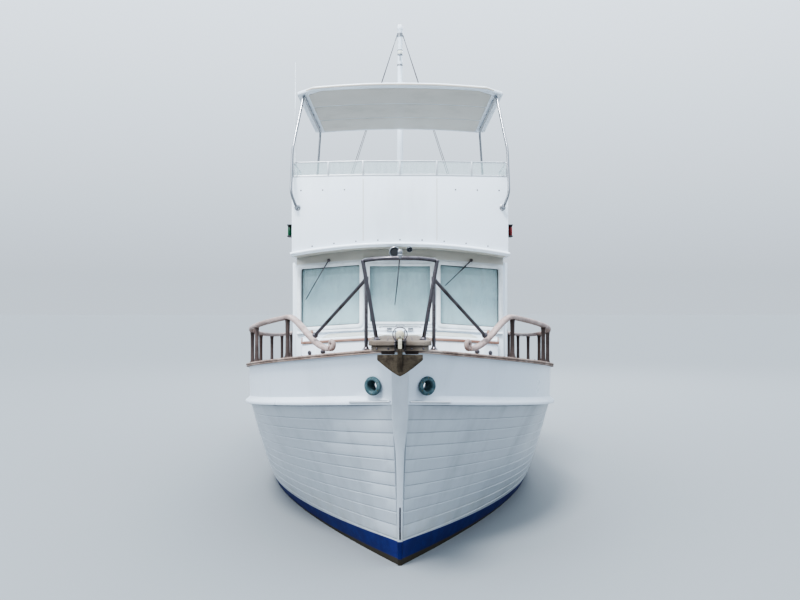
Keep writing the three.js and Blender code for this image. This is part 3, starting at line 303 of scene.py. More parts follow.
def metalFinish(name, bright, stain, rough, stainShare, metallic=1.0, scale=7.0):
    f = Finish(name)
    patch = f.noise(scale, 6, 0.68)
    fine = f.noise(scale * 14, 3, 0.6)
    mask = f.span(patch * 0.75 + fine * 0.25, 0.66 - stainShare * 0.35, 0.8 - stainShare * 0.35)
    f.bump(fine * 0.4 + patch, 0.18, 0.003)
    return f.use(Base_Color=f.mix(bright, stain, mask), Metallic=f.span(mask, 0, 1, metallic, metallic * 0.25),
        Roughness=f.span(mask, 0, 1, rough, min(0.9, rough + 0.45)) + fine * 0.06)


def glassFinish(name, tint, alpha):
    f = Finish(name, IOR=1.5, Specular_IOR_Level=0.6)
    film = f.noise(5, 5, 0.65)
    rain = f.noise(16, 4, 0.6, f.stretched((1, 1, 0.15)))
    haze = f.span(film * 0.5 + rain * 0.5, 0.45, 0.75)
    return f.use(Base_Color=f.mix(tint, (205, 212, 210), haze * 0.4), Alpha=f.span(haze, 0, 1, alpha,
        min(1, alpha + 0.16)), Roughness=f.span(haze, 0, 1, 0.03, 0.16))


def plainFinish(name, pale, dark, rough=0.5, grain=40.0, depth=0.15, **constants):
    f = Finish(name, **constants)
    patch = f.noise(6, 5, 0.62)
    fine = f.noise(grain, 3, 0.6)
    f.bump(fine, depth, 0.002)
    return f.use(Base_Color=f.mix(pale, dark, f.span(patch * 0.7 + fine * 0.3, 0.38, 0.7)),
        Roughness=f.span(fine, 0.3, 0.7, rough - 0.06, rough + 0.1))


def clothFinish(name, pale, dark, browShadowBand, pitch=0.0016, rough=0.8, depth=0.3):
    f = Finish(name, Sheen_Weight=0.25, Roughness=rough)
    way = f.add("ShaderNodeTexWave", {"bands_direction": "X"}, {"Vector": f.place, "Scale": 0.32 / pitch})
    across = f.add("ShaderNodeTexWave", {"bands_direction": "Z"}, {"Vector": f.place, "Scale": 0.32 / pitch})
    weave = way.out("Fac") * 0.5 + across.out("Fac") * 0.5
    patch = f.noise(2.5, 5, 0.6)
    f.bump(weave, depth, 0.0008)
    color = f.mix(pale, dark, f.span(patch, 0.4, 0.7) * 0.8)
    height, bow = browShadowBand  # painted shade: the brow's shadow is a darker band along the top, which drops towards the sides
    shadowMask = (f.z + f.x * f.x * bow).above(height, 0.0015)
    color = f.mix(color, (158, 180, 181), shadowMask * 0.85)
    return f.use(Base_Color=f.mix(color, dark, weave * 0.15))


def gripFinish():  # non-skid deck paint with a fine moulded diamond grip
    f = Finish("gripGelcoat", Coat_Weight=0.05)
    a = ((f.x + f.y) / 0.012 % 1.0 - 0.5).maths("ABSOLUTE")
    b = ((f.x - f.y) / 0.012 % 1.0 - 0.5).maths("ABSOLUTE")
    grip = f.span(a.maths("MINIMUM", b), 0.06, 0.2)
    patch = f.noise(2.2, 6, 0.65)
    f.bump(grip, 0.5, 0.0012)
    color = f.mix((208, 208, 200), (176, 176, 166), f.span(patch, 0.42, 0.7))
    return f.use(Base_Color=f.mix((150, 150, 142), color, grip * 0.5 + 0.5), Roughness=f.span(grip, 0, 1, 0.7,
        0.55))


finish = {
    "gelcoat": gelcoatFinish("gelcoat", (224, 231, 238), (202, 207, 211)),
    # the same white gelcoat, set greyer for the bulwarks: painted shade
    "bulwark": gelcoatFinish("bulwarkGelcoat", (202, 210, 219), (182, 189, 196)),
    # the front wall's gelcoat carries a darker band under the brow: painted shade
    "frontGelcoat": gelcoatFinish("frontGelcoat", (222, 229, 235), (200, 205, 208),
                                  browShadeBand=(2.962, 0.0379, (176, 173, 164))),
    # a darker, warmer copy of the white gelcoat: painted shade for undersides and creases
    "shadedGelcoat": gelcoatFinish("underGelcoat", (196, 191, 181), (170, 164, 153), 0.5),
    "grip": gripFinish(),
    # the same white gelcoat as the house: the hull's is set much greyer, as painted shade under the flare, and the
    # stem's lighter than the hull's, as painted light on its face
    "hull": hullFinish("hullGelcoat", (172, 179, 186), (148, 154, 160)),
    "stem": hullFinish("stemGelcoat", (190, 197, 204), (168, 174, 180)),
    "deckTeak": teakFinish("deckTeak", (176, 160, 142), (118, 102, 88), (190, 180, 166), plank=0.052),
    "capTeak": teakFinish("capTeak", (168, 150, 140), (96, 78, 70), (202, 190, 182)),
    "railTeak": teakFinish("railTeak", (184, 168, 163), (122, 103, 97), (204, 193, 189), rough=0.66),
    "postTeak": teakFinish("postTeak", (88, 75, 71), (50, 41, 40), (116, 102, 98), grain=(1, 1, 0.08)),
    "trimTeak": teakFinish("trimTeak", (176, 146, 134), (120, 90, 78), (200, 182, 172), grain=(0.07, 1, 1)),
    "plankTeak": teakFinish("plankTeak", (130, 118, 106), (75, 65, 57), (154, 145, 134), grain=(0.07, 1, 1)),
    "doorTeak": teakFinish("doorTeak", (168, 112, 70), (112, 66, 38), (184, 140, 98), (1, 1, 0.07), rough=0.42),
    "stainless": metalFinish("stainless", (158, 160, 164), (92, 88, 86), 0.2, 0.22),
    "brightSteel": metalFinish("brightSteel", (214, 217, 220), (150, 148, 144), 0.3, 0.15, 0.85),
    "darkSteel": metalFinish("darkSteel", (112, 108, 112), (58, 52, 53), 0.26, 0.5),
    "bronze": metalFinish("bronze", (90, 112, 118), (62, 86, 92), 0.5, 0.7, 0.25, 22.0),
    "rawBronze": metalFinish("rawBronze", (122, 106, 76), (72, 88, 72), 0.38, 0.55, 0.9, 9.0),
    "galvanised": metalFinish("galvanised", (70, 62, 50), (44, 36, 27), 0.55, 0.62, 0.45, 16.0),
    "paleZinc": metalFinish("paleZinc", (196, 190, 170), (120, 104, 78), 0.45, 0.45, 0.5, 24.0),
    "glass": glassFinish("glass", (196, 216, 218), 0.2),
    "darkGlass": glassFinish("tintedGlass", (70, 86, 90), 0.62),
    "gasket": plainFinish("gasket", (104, 108, 108), (72, 75, 76), 0.62, 60),
    "plastic": plainFinish("darkPlastic", (48, 50, 54), (30, 31, 34), 0.45, 90),
    "vinyl": plainFinish("vinyl", (226, 222, 210), (196, 190, 176), 0.52, 260, 0.25, Sheen_Weight=0.15),
    # the covers' darker band along the top is the brow's painted shadow
    "cover": clothFinish("windowCover", (180, 203, 209), (159, 185, 191), browShadowBand=(2.8, 0.0379)),
    "redLens": plainFinish("redLens", (142, 10, 14), (98, 6, 10), 0.2, 60, 0.05, Coat_Weight=0.3),
    "greenLens": plainFinish("greenLens", (8, 92, 56), (4, 62, 38), 0.2, 60, 0.05, Coat_Weight=0.3),
    "clearLens": plainFinish("clearLens", (222, 224, 216), (190, 190, 180), 0.12, 60, 0.05, Coat_Weight=0.8),
    "whitePlastic": plainFinish("whitePlastic", (224, 229, 233), (200, 204, 206), 0.4, 90, 0.08),
}
slotOf = {look: look for look in finish} | {  # the slot that goes with each finish
    **dict.fromkeys(("frontGelcoat", "bulwark", "shadedGelcoat", "grip", "hull", "stem", "whitePlastic",
        "gasket"), "gelcoat"),
    **dict.fromkeys(("deckTeak", "capTeak", "railTeak", "postTeak", "trimTeak", "plankTeak", "doorTeak"),
        "teak"),
    **dict.fromkeys(("brightSteel", "darkSteel", "plastic"), "stainless"),
    **dict.fromkeys(("darkGlass", "clearLens"), "glass"),
    "paleZinc": "galvanised", "rawBronze": "bronze", "cover": "vinyl", "redLens": "red_lens", "greenLens": "green_lens",
}
print("finishes made")


# mesh building
def axes(along):
    along = Vector(along).normalized()
    helper = Vector((1, 0, 0)) if abs(along.z) > 0.9 else Vector((0, 0, 1))
    side = along.cross(helper).normalized()
    return side, along.cross(side).normalized()


def bent(points, bend, steps=6):  # the run of points with its corners rounded
    points = [Vector(p) for p in points]
    route = [points[0]]
    for before, corner, after in zip(points, points[1:], points[2:]):
        route += rounded(before, corner, after, bend, steps)
    return [*route, points[-1]]


def rounded(before, corner, after, bend, steps):  # one corner of a run, cut back at most by bend
    a, b = before - corner, after - corner
    start = corner + a.normalized() * min(bend, a.length * 0.45)
    end = corner + b.normalized() * min(bend, b.length * 0.45)
    places = [k / steps for k in range(steps + 1)]
    return [start * (1 - t) ** 2 + corner * 2 * t * (1 - t) + end * t * t for t in places]


def spline(points, k, t):  # the curve through four points from the k-th on
    a, b, c, d = points[k:k + 4]
    return (b * 2 + (c - a) * t + (a * 2 - b * 5 + c * 4 - d) * t * t + (b * 3 - a - c * 3 + d) * t**3) / 2


def padded(points):  # with a point more at each end
    return [points[0] * 2 - points[1], *points, points[-1] * 2 - points[-2]]


def smoothed(points, steps=6):  # a curve through the points
    points = [Vector(p) for p in points]
    run = padded(points)
    return [*[spline(run, k, n / steps) for k in range(len(points) - 1) for n in range(steps)], points[-1]]


def turnsOf(count):  # evenly spaced angles once round
    return [2 * pi * n / count for n in range(count)]


def between(low, high, steps):  # evenly spaced numbers, both ends too
    return [low + (high - low) * k / steps for k in range(steps + 1)]


class Shape:
    def __init__(self):
        self.bm = bmesh.new()

    def rows(self, rows, closed=True, caps=True):
        made = [[self.bm.verts.new(p) for p in row] for row in rows]
        count = len(rows[0])
        for low, high in zip(made, made[1:]):
            for k in range(count if closed else count - 1):
                n = (k + 1) % count
                self.bm.faces.new((low[k], low[n], high[n], high[k]))
        if caps:
            self.bm.faces.new(made[0][::-1])
            self.bm.faces.new(made[-1])
        return made

    def tube(self, points, radius, sides=14, bend=0.0, endRadius=None, domed=True, steps=6):
        route = bent(points, bend, steps) if bend else [Vector(p) for p in points]
        side, _ = axes(route[1] - route[0])
        loops = []
        last = len(route) - 1
        for k, centre in enumerate(route):
            along = (route[min(k + 1, last)] - route[max(k - 1, 0)]).normalized()
            side = (side - along * side.dot(along)).normalized()
            up = along.cross(side)
            size = radius + ((endRadius or radius) - radius) * k / last
            loops.append((centre, side.copy(), up, along, size))
        rows = [self.circle(centre, side, up, size, sides) for centre, side, up, along, size in loops]

        def dome(centre, side, up, along, size):
            return [self.circle(centre + along * size * (1 - t) * 0.7, side, up, size * sin(t * pi / 2), sides)
                for t in (0.87, 0.6, 0.25)]

        if domed:
            centre, side, up, along, size = loops[0]
            rows = [*dome(centre, side, up, -along, size)[::-1], *rows, *dome(*loops[-1])]
        self.rows(rows)
        return self

    def circle(self, centre, side, up, size, sides):
        return [centre + side * size * cos(t) + up * size * sin(t) for t in turnsOf(sides)]

    def ring(self, rows):  # rows that close on themselves
        part = Shape()
        part.rows([*rows, rows[0]], caps=False)
        bmesh.ops.remove_doubles(part.bm, verts=part.bm.verts, dist=1e-6)
        return self.take(part)

    # a body turned round an axis from (radius, along) pairs in millimetres, closed at its ends or as a ring
    def turned(self, profile, origin, sides, along=(0, 0, 1), ring=False):
        side, up = axes(along)
        along, origin = Vector(along).normalized(), Vector(origin)
        rows = [self.circle(origin + along * (t / 1000), side, up, max(r / 1000, 1e-4), sides) for r,
            t in profile]
        if ring:
            return self.ring(rows)
        self.rows(rows)
        return self

    def block(self, low, high, ease=0.004, segments=2):
        corners = [(x, y, z) for z in (low[2], high[2]) for x, y in ((low[0], low[1]), (high[0], low[1]),
            (high[0], high[1]), (low[0], high[1]))]
        return self.loft([corners[:4], corners[4:]], ease, segments)

    def loft(self, loops, ease=0.0, segments=2, angle=25):
        part = Shape()
        part.rows(loops)
        part.ease(ease, segments, angle)
        return self.take(part)

    # an outline pushed along an axis: [y, z] pairs along x, [x, z] along y, [x, y] along z
    def prism(self, outline, axis, low, high, ease=0.003, segments=2):
        put = {"x": lambda a, b, t: (t, a, b), "y": lambda a, b, t: (a, t, b), "z": lambda a, b,
            t: (a, b, t)}[axis]
        return self.loft([[put(a, b, t) for a, b in outline] for t in (low, high)], ease, segments)

    def ease(self, width, segments=2, angle=25):
        if width <= 0:
            return self
        bmesh.ops.recalc_face_normals(self.bm, faces=self.bm.faces)
        sharp = [e for e in self.bm.edges if e.is_manifold and e.calc_face_angle(0) > radians(angle)]
        bmesh.ops.bevel(self.bm, geom=sharp, offset=width, segments=segments, profile=0.5, affect="EDGES",
            clamp_overlap=True)
        return self

    def take(self, other, move=None):
        held = bpy.data.meshes.new("held")
        bmesh.ops.recalc_face_normals(other.bm, faces=other.bm.faces)
        other.bm.to_mesh(held)
        other.bm.free()
        if move:
            held.transform(move)
        self.bm.from_mesh(held)
        bpy.data.meshes.remove(held)
        return self

    def sweep(self, points, section, level=True, caps=True):
        points = [Vector(p) for p in points]
        rows = []
        for k, point in enumerate(points):
            along = (points[min(k + 1, len(points) - 1)] - points[max(k - 1, 0)]).normalized()
            side = along.cross(Vector((0, 0, 1))).normalized()
            up = Vector((0, 0, 1)) if level else side.cross(along)
            rows.append([point + side * s + up * u for s, u in section])
        self.rows(rows, caps=caps)
        return self

    def hoop(self, points, radius, sides=10):  # a closed tube round a flat ring of points
        points = [Vector(p) for p in points]
        side, _ = axes(points[1] - points[-1])
        rows = []
        for k, point in enumerate(points):
            along = (points[(k + 1) % len(points)] - points[k - 1]).normalized()
            side = (side - along * side.dot(along)).normalized()
            rows.append(self.circle(point, side, along.cross(side), radius, sides))
        return self.ring(rows)

    def outboard(self, x):  # what lies outboard of x on the port side, closed there
        bmesh.ops.bisect_plane(self.bm, geom=[*self.bm.verts, *self.bm.edges, *self.bm.faces],
            plane_co=(x, 0, 0), plane_no=(1, 0, 0), clear_inner=True)
        bmesh.ops.holes_fill(self.bm, edges=[e for e in self.bm.edges if e.is_boundary])

    def flipped(self):  # to the other side of the centreline
        bmesh.ops.scale(self.bm, vec=(-1, 1, 1), verts=self.bm.verts)
        return self

    def piece(self, name, look, on="boat", instead=(), slot=None, angle=35):
        bmesh.ops.recalc_face_normals(self.bm, faces=self.bm.faces)
        mesh = bpy.data.meshes.new(name)
        self.bm.to_mesh(mesh)
        self.bm.free()
        return placed(name, mesh, look, on, instead, slot, angle)


def shapes(count):
    return [Shape() for _ in range(count)]


def placed(name, mesh, look, on="boat", instead=(), slot=None, angle=35):
    piece = linked(name, mesh)
    mesh.materials.clear()
    mesh.materials.append(finish[look])
    mesh.shade_smooth()
    mesh.set_sharp_from_angle(angle=radians(angle))
    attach(piece, on)
    slot or slotOf[look]
    if instead:
        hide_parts(*instead)
    return piece


# a copy of a CAD node with its edges eased, standing for it
def easedNode(node, name, look, on="boat", width=0.005, segments=2, angle=24, slot=None):
    shape = Shape()
    shape.bm.from_mesh(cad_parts[node].data)
    bmesh.ops.remove_doubles(shape.bm, verts=shape.bm.verts, dist=2e-5)
    bmesh.ops.dissolve_limit(shape.bm, angle_limit=radians(0.6), verts=shape.bm.verts, edges=shape.bm.edges)
    shape.ease(width, segments, angle)
    bmesh.ops.triangulate(shape.bm, faces=[f for f in shape.bm.faces if len(f.verts) > 4])
    shape.piece(name, look, on, (node,), slot)


# the hull's lines, as (bow, mid and stern height, stem's y, half-breadth, fullness, power, stem's half, tail)
hullLines = [(-0.64, -0.74, -0.21, -4.48, 0.07, 0.5, 2.0, 0.015, 0.9), (-0.48, -0.52, -0.16, -4.7, 1.15, 0.55,
    1.5, 0.017, 0.9), (-0.25, -0.24, -0.06, -4.88, 1.69, 0.52, 1.5, 0.019, 0.93), (0.0, 0.0, 0.06, -4.991, 1.83,
    0.5, 1.6, 0.022, 0.93), (0.5, 0.33, 0.43, -5.141, 1.865, 0.48, 1.9, 0.034, 0.92),
    (1.04, 0.72, 0.8, -5.303, 1.885, 0.455, 2.3, 0.052, 0.91), (1.52, 1.085, 1.165, -5.447, 1.895, 0.43, 2.75,
    0.07, 0.9)]
sides = (("port", 1), ("starboard", -1))
guardFoot = hullLines[-1]
capLine = (2.03, 1.545, 1.6, -5.592, 1.9, 0.43, 2.75, 0.071, 0.9)
transom = {"y": 5.48, "rake": 0.08}
stations = [(k / 64) ** 1.25 for k in range(65)]


def parabola(low, middle, high, share):
    return low * (1 - share) * (1 - 2 * share) + middle * 4 * share * (1 - share) + high * share * (
        2 * share - 1)


def linePoint(line, share):
    bow, mid, stern, stemY, half, full, power, stemHalf, tail = line
    if share < full:
        shape = 1 - (1 - share / full) ** power
    else:
        shape = 1 - (1 - tail) * ((share - full) / (1 - full)) ** 2
    z = parabola(bow, mid, stern, share)
    aft = transom["y"] + transom["rake"] * z
    return Vector((stemHalf + (half - stemHalf) * shape, stemY + (aft - stemY) * share, z))


def mirrorLoop(port):
    return [*port, *[Vector((-p.x, p.y, p.z)) for p in reversed(port) if abs(p.x) > 1e-6]]


def deckAcross(share, inset, rise):  # from the deck's edge to the centreline, on a crown
    edge = linePoint(guardFoot, share)
    crown = 0.07 * min(1, edge.x / 0.6)
    places = [edge.x - inset, edge.x * 0.5, 0.0]

    def chord(x):
        half = edge.x / 2
        return 1.5 * crown * (edge.x - x) / edge.x if x > half else crown * (1 - x / (2 * edge.x))

    return [Vector((x, edge.y, edge.z + rise + chord(x))) for x in places]


# the planked hull skin: every seam is a shallow groove that follows the sheer
planking = {"seams": [1.385 - 0.1235 * k for k in range(10)], "under": 0.004, "over": 0.014, "deep": 0.0085}


def hullPiece():
    bowHeights = [line[0] for line in hullLines]

    def stepAt(height):  # a place between two lines from its height at the bow
        for k in range(3, 6):
            if height <= bowHeights[k + 1] or k == 5:
                return k + (height - bowHeights[k]) / (bowHeights[k + 1] - bowHeights[k])

    steps = [(0.25 * k, 0.0) for k in range(12)]
    for seam in reversed(planking["seams"]):  # a short face looks down into it, a longer one slopes up to it
        for shift, deep in ((-planking["over"], 0), (0.0, planking["deep"]), (planking["under"], 0)):
            steps.append((stepAt(seam + shift), deep))
    steps = [(2.999, 0.0) if abs(s - 3) < 1e-6 else (s, d) for s, d in steps] + [(6.0, 0.0)]
    steps.sort()
    rows = []
    for share in stations:
        points = padded([linePoint(line, share) for line in hullLines])
        port = []
        for step, deep in steps:
            k = min(int(step), 5)
            p = spline(points, k, step - k)
            p.x = max(p.x - deep, 0.012)
            port.append(p)
        rows.append(mirrorLoop([*port, *deckAcross(share, 0.01, 0)[1:]]))
    skin = Shape()
    # the groove bottoms are marked for the painted shade in the seams
    grooveShadeMark = skin.bm.verts.layers.float.new("seam")
    for row in skin.rows(rows):
        for k, (_, deep) in enumerate(steps):
            if deep:
                row[k][grooveShadeMark] = row[-1 - k][grooveShadeMark] = 1.0
    skin.loft(keelLoops())
    skin.block((-0.042, 3.9, -1.22), (0.042, 4.85, -1.15), 0.012, 3)
    skin.piece("hullSkin", "hull", instead=("hull",), angle=28)


def keelLoops():
    foot = [(-4.54, -0.5, 0.02), (-4.4, -0.76, 0.03), (-4.0, -0.95, 0.05), (-3.3, -1.05, 0.06),
        (3.7, -1.214, 0.06), (3.9, -1.219, 0.05), (4.02, -1.22, 0.042)]
    return [[(half, y, -0.3), (half, y, low + 0.03), (half * 0.6, y, low), (-half * 0.6, y, low),
        (-half, y, low + 0.03), (-half, y, -0.3)] for y, low, half in foot]


stem = {
    "proud": 0.032, "topY": -5.6, "topZ": 2.03, "rake": 0.3,
    # height and half the face's width
    "face": [(1.99, 0.073), (1.6, 0.073), (1.42, 0.072), (1.3, 0.064), (1.2, 0.05), (1.1, 0.04), (0.9, 0.033),
             (0.6, 0.028), (0.3, 0.024), (0.0, 0.021), (-0.25, 0.018)],
}


def stemPiece():
    loops = []
    for z, half in stem["face"]:
        forefoot = -z * 0.14 if z < 0 else 0
        face = stem["topY"] + stem["rake"] * (stem["topZ"] - z) + forefoot - stem["proud"]
        back = face + 0.075
        loops.append([(-half, back, z), (half, back, z), (half, face + 0.012, z), (half - 0.004, face + 0.003,
            z), (half - 0.013, face, z), (-half + 0.013, face, z), (-half + 0.004, face + 0.003, z),
            (-half, face + 0.012, z)])
    Shape().loft(loops).piece("stemPost", "stem", angle=40)


def hawsePoint(scale, turn, out, which="ring"):  # a point round the hole through the port bulwark
    wide, high = hawse[which]
    across = hawse["out"].cross(Vector((0, 0, 1)))
    centre = Vector((hawse["x"], hawse["y"], hawse["z"])) + hawse["out"] * out
    turn = 2 * pi * turn
    return centre + across * wide * scale * cos(turn) + Vector((0, 0, high * scale * sin(turn)))


# the bulwarks with their moulded guard
guard = {"proud": 0.064, "cap": 0.038, "wall": 0.062}
hawse = {"x": 0.27, "y": -5.395, "z": 1.68, "out": Vector((0.63, -0.777, 0)).normalized(),
    "hole": (0.057, 0.048), "ring": (0.092, 0.084)}


def bulwarkPiece(side):
    rows = []
    for share in stations:
        foot, top = linePoint(guardFoot, share), linePoint(capLine, share)
        proud = guard["proud"] * min(1, (foot.x - 0.06) / 0.3)
        high = top.z - guard["cap"]

        def wall(t, bulge=0.0):
            low = Vector((foot.x + 0.008, foot.y, foot.z + 0.09))
            return low + (Vector((top.x, top.y, high)) - low) * t + Vector((bulge, 0, 0))

        def rim(out, up):
            return Vector((foot.x + out, foot.y, foot.z + up))

        rows.append([rim(-0.066, 0.003), rim(0.0, 0.003), rim(proud * 0.62, 0.004), rim(proud * 0.93, 0.008),
            rim(proud, 0.018), rim(proud * 0.99, 0.032), rim(proud * 0.86, 0.045), rim(proud * 0.56, 0.058),
            rim(proud * 0.32, 0.072), wall(0.0, 0.002), wall(0.12), wall(0.45, 0.002), wall(0.8, 0.001),
            wall(1.0), Vector((top.x - guard["wall"], top.y, high)),
            Vector((top.x - guard["wall"] - 0.006, foot.y, foot.z + 0.15))])
    shape = Shape()
    shape.rows(rows)
    shape.outboard(0.0705)
    hole = Shape()
    hole.rows([[hawsePoint(1.0, k / 36, out, "hole") for k in range(36)] for out in (-0.3, 0.3)])
    mesh = cut(shape, hole)
    shape = Shape()
    shape.bm.from_mesh(mesh)
    if side == "starboard":
        shape.flipped()
    shape.piece(f"bulwarkShell_{side}", "bulwark", instead=(f"bulwark_{side}",), angle=30)


# one closed shape cut by another, as a plain mesh
def cut(shape, cutter, operation="DIFFERENCE"):
    objects = []
    for part in (shape, cutter):
        bmesh.ops.remove_doubles(part.bm, verts=part.bm.verts, dist=1e-6)
        bmesh.ops.recalc_face_normals(part.bm, faces=part.bm.faces)
        mesh = bpy.data.meshes.new("cutWork")
        part.bm.to_mesh(mesh)
        part.bm.free()
        objects.append(linked("cutWork", mesh))
    body, tool = objects
    modifier = body.modifiers.new("cut", "BOOLEAN")
    modifier.operation = operation
    modifier.object = tool
    modifier.solver = "EXACT"
    mesh = finished(body)
    for made in objects:
        bpy.data.objects.remove(made)
    return mesh


def finished(made):  # an object's mesh with its modifiers taken in
    bpy.context.view_layer.update()
    return bpy.data.meshes.new_from_object(made.evaluated_get(bpy.context.evaluated_depsgraph_get()))


def capCentre(share):
    point = linePoint(capLine, share)
    point.x -= 0.03
    return point


# the teak cap: a board with rounded edges that follows the sheer
cap = {"half": 0.068, "thick": 0.038}


def roundedSection(half, low, high, radius, steps=3):
    points = []
    for cx, cz, start in ((half, high, 0), (-half, high, 90), (-half, low, 180), (half, low, 270)):
        sx, sz = (1 if cx > 0 else -1), (1 if cz == high else -1)
        for k in range(steps + 1):
            turn = radians(start + 90 * k / steps)
            points.append((cx - sx * radius + radius * cos(turn), cz - sz * radius + radius * sin(turn)))
    return points


def capPiece(side):
    route = [Vector((0.01, stem["topY"] - 0.05, capCentre(0).z))] + [capCentre(s) for s in stations]
    shape = Shape()  # a wide board over a narrower moulding, with a dark line between them
    shape.sweep(route, roundedSection(cap["half"], -0.0225, 0.0, 0.01))
    shape.sweep(route, roundedSection(cap["half"] - 0.011, -0.0245, -0.0215, 0.001))
    shape.sweep(route, roundedSection(cap["half"] - 0.003, -cap["thick"] + 0.0003, -0.0255, 0.005))
    shape.outboard(0.0006)
    if side == "starboard":
        shape.flipped()
    shape.piece(f"capBoard_{side}", "capTeak", instead=(f"cap_rail_{side}",), angle=40)


# the wooden hand rail with its scroll, and the turned posts under it
rail = {"rise": 0.405, "foot": 0.058, "full": 0.12, "end": 0.925, "half": 0.034, "post": 0.024,
    "posts": [0.12, 0.215, 0.31, 0.405, 0.5, 0.595, 0.69, 0.785, 0.88]}


def railHeight(share):
    run = min(1, max(0, (share - rail["foot"]) / (rail["full"] - rail["foot"])))
    return 0.042 + (rail["rise"] - 0.042) * run * run * (3 - 2 * run)


def sideRailPiece(side):
    shares = [rail["foot"] + (rail["full"] - rail["foot"]) * k / 26 for k in range(26)]
    shares += between(rail["full"], rail["end"], 60)
    route = [capCentre(share) + Vector((0, 0, railHeight(share))) for share in shares]
    section = roundedSection(rail["half"], -0.022, 0.026, 0.02, 5)
    wood = Shape()
    wood.sweep(route, section, level=False)
    start = route[0]
    along = (route[0] - route[1]).normalized()
    scroll = []
    for k in range(34):
        turn = radians(-90 + k * 14)
        reach = 0.04 - 0.00075 * k
        scroll.append(start + along * (0.012 + reach * cos(turn)) + Vector((0, 0, 0.04 + reach * sin(turn))))
    wood.tube(scroll, 0.024, 14, endRadius=0.012)
    posts = Shape()
    for share in rail["posts"]:
        foot = capCentre(share)
        high, r = rail["rise"] * 1000 - 18, rail["post"] * 1000
        posts.turned([(r * 1.5, 1.2), (r * 1.5, 10), (r * 1.18, 16), (r * 0.94, 50), (r * 0.86, high * 0.5),
            (r * 0.94, high - 40), (r * 1.15, high)], foot, 18)
    if side == "starboard":
        wood.flipped()
        posts.flipped()
    wood.piece(f"handRail_{side}", "railTeak", instead=(f"side_rail_{side}",), angle=50)
    posts.piece(f"railPosts_{side}", "postTeak", angle=40)


def sternRailPiece():
    start, end = capCentre(rail["end"]), capCentre(1)
    high = start.z + rail["rise"]
    port = [(start.x - 0.003, start.y + 0.008, high), (end.x - 0.004, end.y - 0.33, high),
        (end.x - 0.022, end.y - 0.15, high), (end.x - 0.08, end.y - 0.06, high), (end.x - 0.22, end.y - 0.03,
        high), (0, end.y - 0.03, high)]
    route = bent([*port, *[(-x, y, z) for x, y, z in reversed(port[:-1])]], 0.1, 6)
    wood = Shape()
    wood.sweep(route, roundedSection(rail["half"], -0.022, 0.026, 0.02, 5), level=False)
    wood.piece("sternHandRail", "railTeak", instead=("stern_rail",), angle=50)
    posts = Shape()
    r = rail["post"] * 1000
    for x in (-1.26, -0.84, -0.42, 0, 0.42, 0.84, 1.26):
        posts.turned([(r * 1.4, 0.6), (r * 1.4, 10), (r, 30), (r * 0.86, 200), (r, 360),
            (r * 1.1, (high - end.z) * 1000 - 18)], (x, end.y - 0.035, end.z), 18)
    posts.piece("sternRailPosts", "postTeak", angle=40)


hullPiece()
stemPiece()
for side in ("port", "starboard"):
    bulwarkPiece(side)
    capPiece(side)
    sideRailPiece(side)
sternRailPiece()
print("hull and rails made")


# a node tree that sets one shape on the points of a guide, grown at once into a plain mesh
class Growth(NodeTree):
    def __init__(self, name, guide, **sizes):
        super().__init__(bpy.data.node_groups.new(name + "Tree", "GeometryNodeTree"))
        self.name, self.guide, self.sizes, self.sockets = name, guide, sizes, {}
        face = self.tree.interface
        face.new_socket(name="Points", in_out="INPUT", socket_type="NodeSocketGeometry")
        for key in sizes:
            made = face.new_socket(name=key, in_out="INPUT", socket_type="NodeSocketFloat")
            self.sockets[key] = made.identifier
        face.new_socket(name="Geometry", in_out="OUTPUT", socket_type="NodeSocketGeometry")
        self.given = self.add("NodeGroupInput")

    def grown(self, shape, look, on="boat", instead=(), slot=None, angle=60, turn=None):
        values = {"Points": self.given.out("Points"), "Instance": shape}
        if turn:
            values["Rotation"] = turn
        copies = self.add("GeometryNodeInstanceOnPoints", None, values).out("Instances")
        real = self.add("GeometryNodeRealizeInstances", None, {"Geometry": copies}).out("Geometry")
        painted = self.add("GeometryNodeSetMaterial", None, {"Geometry": real, "Material": finish[look]})
        self.tree.links.new(painted.out("Geometry").socket, self.add("NodeGroupOutput").node.inputs[0])
        guide = linked(self.name + "Guide", self.guide)
        modifier = guide.modifiers.new("growth", "NODES")
        modifier.node_group = self.tree
        for key, value in self.sizes.items():
            modifier[self.sockets[key]] = value
        mesh = finished(guide)
        guide.modifiers.remove(modifier)
        bpy.data.objects.remove(guide)
        mesh.name = self.name
        return placed(self.name, mesh, look, on, instead, slot, angle)


def guideMesh(name, points, facings=()):
    mesh = bpy.data.meshes.new(name)
    mesh.from_pydata([tuple(p) for p in points], [], [])
    if facings:
        facing = mesh.attributes.new("facing", "FLOAT_VECTOR", "POINT")
        for k, out in enumerate(facings):
            facing.data[k].vector = Vector(out).normalized()
    return mesh


# screws, snaps, bolts and bungs: low domes, each turned to its guide point's facing
def domes(name, guides, look, radius=0.008, height=0.004):
    tree = Growth(name, guideMesh(name, *zip(*guides)), Radius=radius, Height=height)
    size, rise = tree.given.out("Radius"), tree.given.out("Height")
    ball = tree.add("GeometryNodeMeshUVSphere", None, {"Segments": 12, "Rings": 6, "Radius": size})
    flat = tree.add("ShaderNodeCombineXYZ", None, {"X": 1.0, "Y": 1.0, "Z": rise / size})
    dome = tree.add("GeometryNodeTransform", None, {"Geometry": ball.out("Mesh"), "Scale": flat.out()})
    facing = tree.add("GeometryNodeInputNamedAttribute", {"data_type": "FLOAT_VECTOR"}, {"Name": "facing"})
    turn = tree.add("FunctionNodeAlignRotationToVector", {"axis": "Z"}, {"Vector": facing.out("Attribute")})
    tree.grown(dome.out("Geometry"), look, turn=turn.out("Rotation"))


